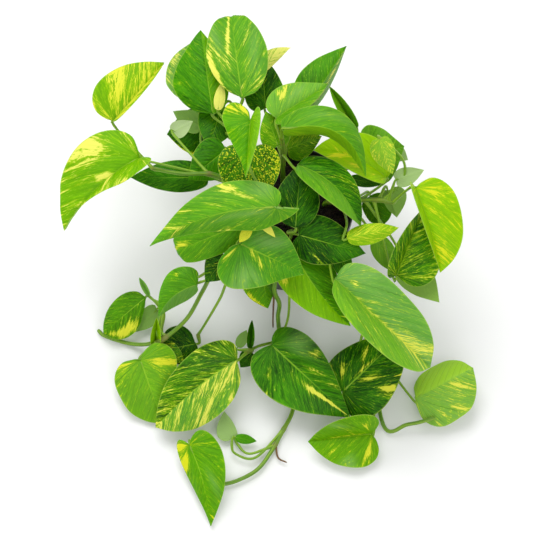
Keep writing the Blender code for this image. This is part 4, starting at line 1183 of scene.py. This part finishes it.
def petiole_places(row, stem):
    """The places of a petiole, on under the blade, where it joins the midrib's keel."""
    depth, back, inner_depth = (0.3, 3, 0.3) if row in YOUNG else (0.9, 6, 0.55)
    frame_at = blade_frame(row)
    point, forward, across, outward = frame_at(0.04)
    roll = math.radians((row["left"] - row["right"]) / 2)
    below = -(outward * math.cos(roll) + across * math.sin(roll))
    bent = math.radians(row["bent"])
    end = point + below * depth
    behind = end + (below * math.sin(bent) - forward * math.cos(bent)) * back
    ahead, _, _, up = frame_at(0.12)
    route = [spot(*place) for place in row["via"]]
    return [at_share(stem, row["along"])] + route + [behind, end, ahead - up * inner_depth]


def stem_radius(length, rings, first, last):
    def radius_at(distance):
        radius = first + (last - first) * distance / length
        radius += sum(NODE_SWELL * bell(distance, place, NODE_SPREAD) for place in rings)
        return radius * (1.0 if distance < length - 0.5 else 0.75)
    return radius_at


def petiole_radius(length):
    def radius_at(distance):
        left = length - distance
        radius = PETIOLE_RADIUS + (PETIOLE_END_RADIUS - PETIOLE_RADIUS) * distance / length
        radius += SHEATH_SWELL * bell(distance, 0.0, SHEATH_SPREAD)
        radius += KNEE_SWELL * bell(left, KNEE_FROM_END, KNEE_SPREAD)
        return radius * (TAPER_END + (1 - TAPER_END) * min(1.0, left / TAPER_LENGTH))
    return radius_at


# %% [markdown]
# ## The stem material
# A golden pothos stem is striped lengthwise in two greens. The main stems are the darkest, side shoots are
# fresher and petioles are the freshest. The rings of the nodes are tan and the aerial roots brown. The
# stripes come from noise that is long along the tube and changes fast round it.

# %% Paint for stems
def stem_paint(tree):
    along, turn = own_map(tree, "stem")
    (age, brown, ring), _ = stored(tree, "kinds")
    angle = turn * (2 * math.pi)
    round_x, round_y = calc("COSINE", angle), calc("SINE", angle)
    stripes = noise(vector(along * 1.6, round_x, round_y), 1.6, 3.0)
    fine = noise(vector(along * 9.0, round_x, round_y), 6.0)
    patch = noise(own_space(tree), 60.0, 3.0)
    green = mix(between(stripes, 0.42, 0.58), screen_colour(70, 128, 10), screen_colour(142, 182, 30))
    green = mix(age * 0.40, green, screen_colour(156, 196, 40))
    green = mix(between(fine, 0.55, 0.75, 0.0, 0.45), green, screen_colour(190, 200, 92))
    green = mix((1.0 - age) * 0.45, green, screen_colour(44, 92, 10))
    green = mix(ring * between(patch, 0.35, 0.65, 0.15, 0.75), green, screen_colour(122, 110, 58))
    bark = mix(patch, screen_colour(74, 50, 28), screen_colour(132, 98, 60))
    return mix(brown, green, bark), patch * 0.2 + 0.32 + brown * 0.35, fine + patch * (brown * 2.0 + 0.6)


stem_finish = new_finish("pothos stem", stem_paint, 0.0003, 0.7, IOR=1.45)
print("stem material", stem_finish.name)

# %% [markdown]
# One piece stands for each packed stem. Its young leaves are a second piece, because they take the finish
# of leaves.

# %% Build the stems
def grow(build, places, rows, ends, tube, brown=0.0):
    """Adds a stem or a shoot, with a ring where each row's petiole leaves it. Gives its coarse line."""
    line = smooth(places, tube[0])
    length = length_of(line)
    rings = sorted({row["along"] * length for row in rows})
    build.add(line, stem_radius(length, rings, *ends), tube, rings, brown)
    return smooth(places, STEM_STEP)


def young_piece(name, rows):
    """The stem's young leaves as one mesh."""
    blades = [blade_mesh(row, row["name"], YOUNG_RIBS, YOUNG_COLUMNS, YOUNG_THICKNESS) for row in rows]
    for blade in blades:
        hold_inside(blade.data)
    with bpy.context.temp_override(active_object=blades[0], selected_editable_objects=blades):
        bpy.ops.object.join()
    blades[0].name = name
    return blades[0]


for name in STEMS:
    build = StemBuilder()
    rows = [row for row in GROWN + YOUNG if row["stem"] == name]
    on_main = [row for row in rows if row["shoot"] is None]
    lines = {None: grow(build, stem_places(name), on_main, STEM_ENDS, MAIN_TUBE)}
    for number, (owner, along, route, *ends) in enumerate(SHOOTS):
        if owner == name:
            places = [at_share(lines[None], along)] + [spot(*place) for place in route]
            on_shoot = [row for row in rows if row["shoot"] == number]
            lines[number] = grow(build, places, on_shoot, ends, SHOOT_TUBE, float(number in ROOT_SHOOTS))
    for row in rows:
        line = smooth(petiole_places(row, lines[row["shoot"]]), PETIOLE_TUBE[0])
        build.add(line, petiole_radius(length_of(line)), PETIOLE_TUBE, [0.0])
    stem = build.build("vine_" + name)
    stem.data.materials.append(stem_finish)
    dress(stem, "stem", "stem_" + name)
    young = [row for row in rows if row in YOUNG]
    if young:
        piece = young_piece("young_leaves_" + name, young)
        piece.data.materials.append(LEAF_FINISHES["fresh"])
        dress(piece, "leaf_fresh", "stem_" + name)
    print(stem.name, len(stem.data.vertices), "points,", len(young), "young leaves")

# %% [markdown]
# ## The soil
# Peat for house plants is dark, fibrous and crumbly. The mound is a turned shape whose top is roughened by
# bumps at random places. Their seed is fixed, so every run gives the same mound.

# %% The mound
POT_WALL, POT_FLOOR, POT_BASE_RADIUS, POT_WALL_RADIUS = 1.4, 1.6, 37.0, 48.5
POT_RIM_RADIUS, POT_HEIGHT, POT_RIM_HEIGHT = 52.0, 86.0, 13.0
MOUND_RINGS, MOUND_SIDES, MOUND_EDGE, MOUND_RISE = 25, 96, SOIL_HEIGHT - 1.8, 2.4
BUMP_COUNT, BUMP_SEED, BUMP_REACH = 260, 11, 45


def turned(profile, segments):
    """A closed body of revolution; the profile runs from the axis below to the axis above."""
    points, rings, faces = [], [], []
    for radius, height in profile:
        if radius == 0:
            rings.append([len(points)] * segments)
            points.append(Vector((0, 0, height)))
            continue
        rings.append(list(range(len(points), len(points) + segments)))
        for k in range(segments):
            turn = 2 * math.pi * k / segments
            points.append(Vector((radius * math.cos(turn), radius * math.sin(turn), height)))
    for low, high in zip(rings, rings[1:]):
        for k in range(segments):
            n = (k + 1) % segments
            # A face at the axis has three corners, because two of its four are the same point.
            faces.append(tuple(dict.fromkeys((low[k], low[n], high[n], high[k]))))
    return points, faces


def build_mound():
    low_radius = POT_BASE_RADIUS - POT_WALL - 1.5 - SOIL_GAP
    high_radius = POT_WALL_RADIUS - POT_WALL - SOIL_GAP
    floor_height = POT_FLOOR + SOIL_GAP
    profile = [(0, floor_height), (low_radius - 0.3, floor_height), (low_radius + 0.9, floor_height + 2),
               (high_radius - 1.2, SOIL_HEIGHT - 3.2)]
    for k in range(1, MOUND_RINGS):
        share = 1 - k / MOUND_RINGS
        profile.append((high_radius * 0.965 * share, MOUND_EDGE + MOUND_RISE * (1 - share ** 2)))
    profile.append((0, MOUND_EDGE + MOUND_RISE))
    points, faces = turned(profile, MOUND_SIDES)
    dice = random.Random(BUMP_SEED)
    ranges = ((-BUMP_REACH, BUMP_REACH), (-BUMP_REACH, BUMP_REACH), (1.5, 4.5), (-0.7, 0.6))
    bumps = [[dice.uniform(*ends) for ends in ranges] for _ in range(BUMP_COUNT)]
    for point in points:
        if point.z > SOIL_HEIGHT - 2.5:
            for x, y, spread, rise in bumps:
                far = ((point.x - x) ** 2 + (point.y - y) ** 2) / spread ** 2
                if far < 6:
                    point.z += rise * math.exp(-far)
    mound = new_mesh("potting_mix", points, faces)
    smooth_shading(mound.data, 60)
    return mound


soil = build_mound()
print("mound", len(soil.data.polygons), "faces")

# %% [markdown]
# A Geometry Nodes tree scatters crumbs over the mound. A fixed seed gives the same crumbs in every run, and
# the result is turned into a plain mesh.

# %% The crumbs and the finish of the soil
def bake(thing):
    """Applies the object's modifiers and keeps only the plain mesh."""
    graph = bpy.context.evaluated_depsgraph_get()
    mesh = bpy.data.meshes.new_from_object(thing.evaluated_get(graph))
    thing.modifiers.clear()
    thing.data = mesh


def build_crumb_tree():
    tree, given, result = new_group(
        "GeometryNodeTree", "soil crumbs",
        {"Geometry": "Geometry", "Density": "Float", "Crumb Size": "Float", "Seed": "Int",
         "Material": "Material"},
        {"Geometry": "Geometry"},
    )
    # Crumbs lie only where the mound faces up.
    normal = add_node("GeometryNodeInputNormal", tree=tree)
    rise = add_node("ShaderNodeSeparateXYZ", normal[:1])[2]
    above = add_node("FunctionNodeCompare", (rise, 0.3), data_type="FLOAT", operation="GREATER_THAN")[0]
    points = add_node("GeometryNodeDistributePointsOnFaces", {
        "Mesh": given["Geometry"], "Selection": above, "Density": given["Density"], "Seed": given["Seed"],
    })[0]
    crumb = add_node("GeometryNodeMeshIcoSphere", {"Subdivisions": 1, "Radius": given["Crumb Size"]})[0]
    size, turn = (
        add_node("FunctionNodeRandomValue", ends, tree, data_type="FLOAT_VECTOR")[0]
        for ends in (((0.35, 0.25, 0.25), (2.1, 1.1, 0.9)), ((0, 0, 0), (6.28, 6.28, 6.28)))
    )
    crumbs = add_node("GeometryNodeInstanceOnPoints", {
        "Points": points, "Instance": crumb, "Scale": size, "Rotation": turn,
    })[0]
    real = add_node("GeometryNodeRealizeInstances", (crumbs,))[0]
    # The mound and its crumbs go into the same socket.
    both = add_node("GeometryNodeJoinGeometry", (given["Geometry"],))[0]
    feed(both.socket.node.inputs[0], real)
    painted = add_node("GeometryNodeSetMaterial", {"Geometry": both, "Material": given["Material"]})[0]
    feed(result[0], painted)
    return tree


def soil_paint(tree):
    place = own_space(tree)
    lumps = noise(place, 260.0, 4.0, 0.6)
    grains = noise(place, 1400.0, 2.0, 0.6)
    damp = noise(place, 30.0)
    colour = mix(between(lumps, 0.35, 0.65), screen_colour(20, 15, 12), screen_colour(52, 38, 28))
    colour = mix(between(grains, 0.6, 0.75, 0.0, 0.6), colour, screen_colour(92, 70, 50))
    colour = mix(between(damp, 0.4, 0.6, 0.0, 0.5), colour, screen_colour(12, 9, 8))
    return colour, between(damp, 0.4, 0.6, 0.95, 0.75), lumps + grains


crumbs = soil.modifiers.new("crumbs", "NODES")
crumbs.node_group = build_crumb_tree()
peat = new_finish("peat", soil_paint, 0.0006, 0.8, Specular_IOR_Level=0.25)
crumb_inputs = {"Density": 520000.0, "Crumb Size": 0.0008, "Seed": 3, "Material": peat}
for socket in crumbs.node_group.interface.items_tree:
    if socket.name in crumb_inputs:
        crumbs[socket.identifier] = crumb_inputs[socket.name]
bake(soil)
hold_inside(soil.data)
dress(soil, "soil", "soil")
print("soil", len(soil.data.polygons), "faces")

# %% [markdown]
# ## The pot
# Nursery pots are blown or injection moulded from black plastic: a thin tapered wall, a wider band at the
# rim for stacking, and drain holes in the floor. The wall is a turned profile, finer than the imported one,
# with rounded lips. The holes are cut with a Boolean, which is applied and then dropped.

# %% Build the pot
DRAIN_HOLES, DRAIN_CIRCLE, DRAIN_RADIUS = 6, 25, 4.0
POT_SIDES, DRAIN_SIDES = 144, 40


def build_pot():
    base, wall, rim, top = POT_BASE_RADIUS, POT_WALL_RADIUS, POT_RIM_RADIUS, POT_HEIGHT
    band = top - POT_RIM_HEIGHT
    profile = [
        (0, 0), (base - 6, 0), (base - 5, 0.7), (base - 3.4, 0.7), (base - 2.6, 0.0), (base - 1.6, 0.1),
        (base - 0.5, 0.7), (base, 2), (wall - 0.25, band - 1.2), (wall + 0.1, band - 0.3), (wall + 0.6, band),
        (rim - 1.5, band), (rim - 1.0, band + 0.25), (rim - 0.7, band + 0.9), (rim - 0.35, band + 6),
        (rim - 0.15, top - 3.2), (rim - 0.05, top - 1.6), (rim - 0.12, top - 0.8), (rim - 0.4, top - 0.25),
        (rim - 0.9, top - 0.02), (rim - 1.3, top - 0.2), (rim - 1.6, top - 0.7), (rim - 2.1, band + 2.2),
        (wall - POT_WALL, band - 1.5), (base - POT_WALL, POT_FLOOR + 1.5), (base - POT_WALL - 1.5, POT_FLOOR),
        (0, POT_FLOOR),
    ]
    pot = new_mesh("nursery_pot", *turned(profile, POT_SIDES))
    cutters = []
    for k in range(DRAIN_HOLES):
        turn = 2 * math.pi * (k + 0.5) / DRAIN_HOLES
        x, y = DRAIN_CIRCLE * math.cos(turn), DRAIN_CIRCLE * math.sin(turn)
        ends = [Vector((x, y, -2)), Vector((x, y, POT_FLOOR + 2))]
        points, faces, _ = fine_tube(ends, lambda distance: DRAIN_RADIUS, DRAIN_SIDES)
        cutter = new_mesh("cutter", points, faces)
        modifier = pot.modifiers.new("drain hole", "BOOLEAN")
        modifier.object = cutter
        modifier.operation = "DIFFERENCE"
        modifier.solver = "EXACT"
        cutters.append(cutter)
    bake(pot)
    for cutter in cutters:
        bpy.data.objects.remove(cutter)
    smooth_shading(pot.data, 35)
    return pot


def pot_paint(tree):
    place = own_space(tree)
    x, y, z = add_node("ShaderNodeSeparateXYZ", (place,))
    cloud = noise(place, 28.0, 3.0)
    grain = noise(place, 900.0)
    drips = noise(vector(x, y, z * 0.12), 120.0, 3.0)
    dust = between(cloud, 0.45, 0.7, 0.0, 0.6) * between(drips, 0.4, 0.7, 0.2, 1.0)
    dust = calc("ADD", dust, between(z, 0.0, 0.03, 0.5, 0.0) * cloud, clamp=True)
    colour = mix(between(grain, 0.3, 0.7), screen_colour(22, 22, 23), screen_colour(33, 33, 35))
    colour = mix(dust * 0.35, colour, screen_colour(96, 84, 70))
    return colour, calc("ADD", cloud * 0.2 + 0.3, dust * 0.4, clamp=True), grain


pot = build_pot()
pot_finish = new_finish("black moulded plastic", pot_paint, 0.00012, 0.5, Specular_IOR_Level=0.45)
pot.data.materials.append(pot_finish)
hold_inside(pot.data)
dress(pot, "pot", "pot")
print("pot", len(pot.data.polygons), "faces")
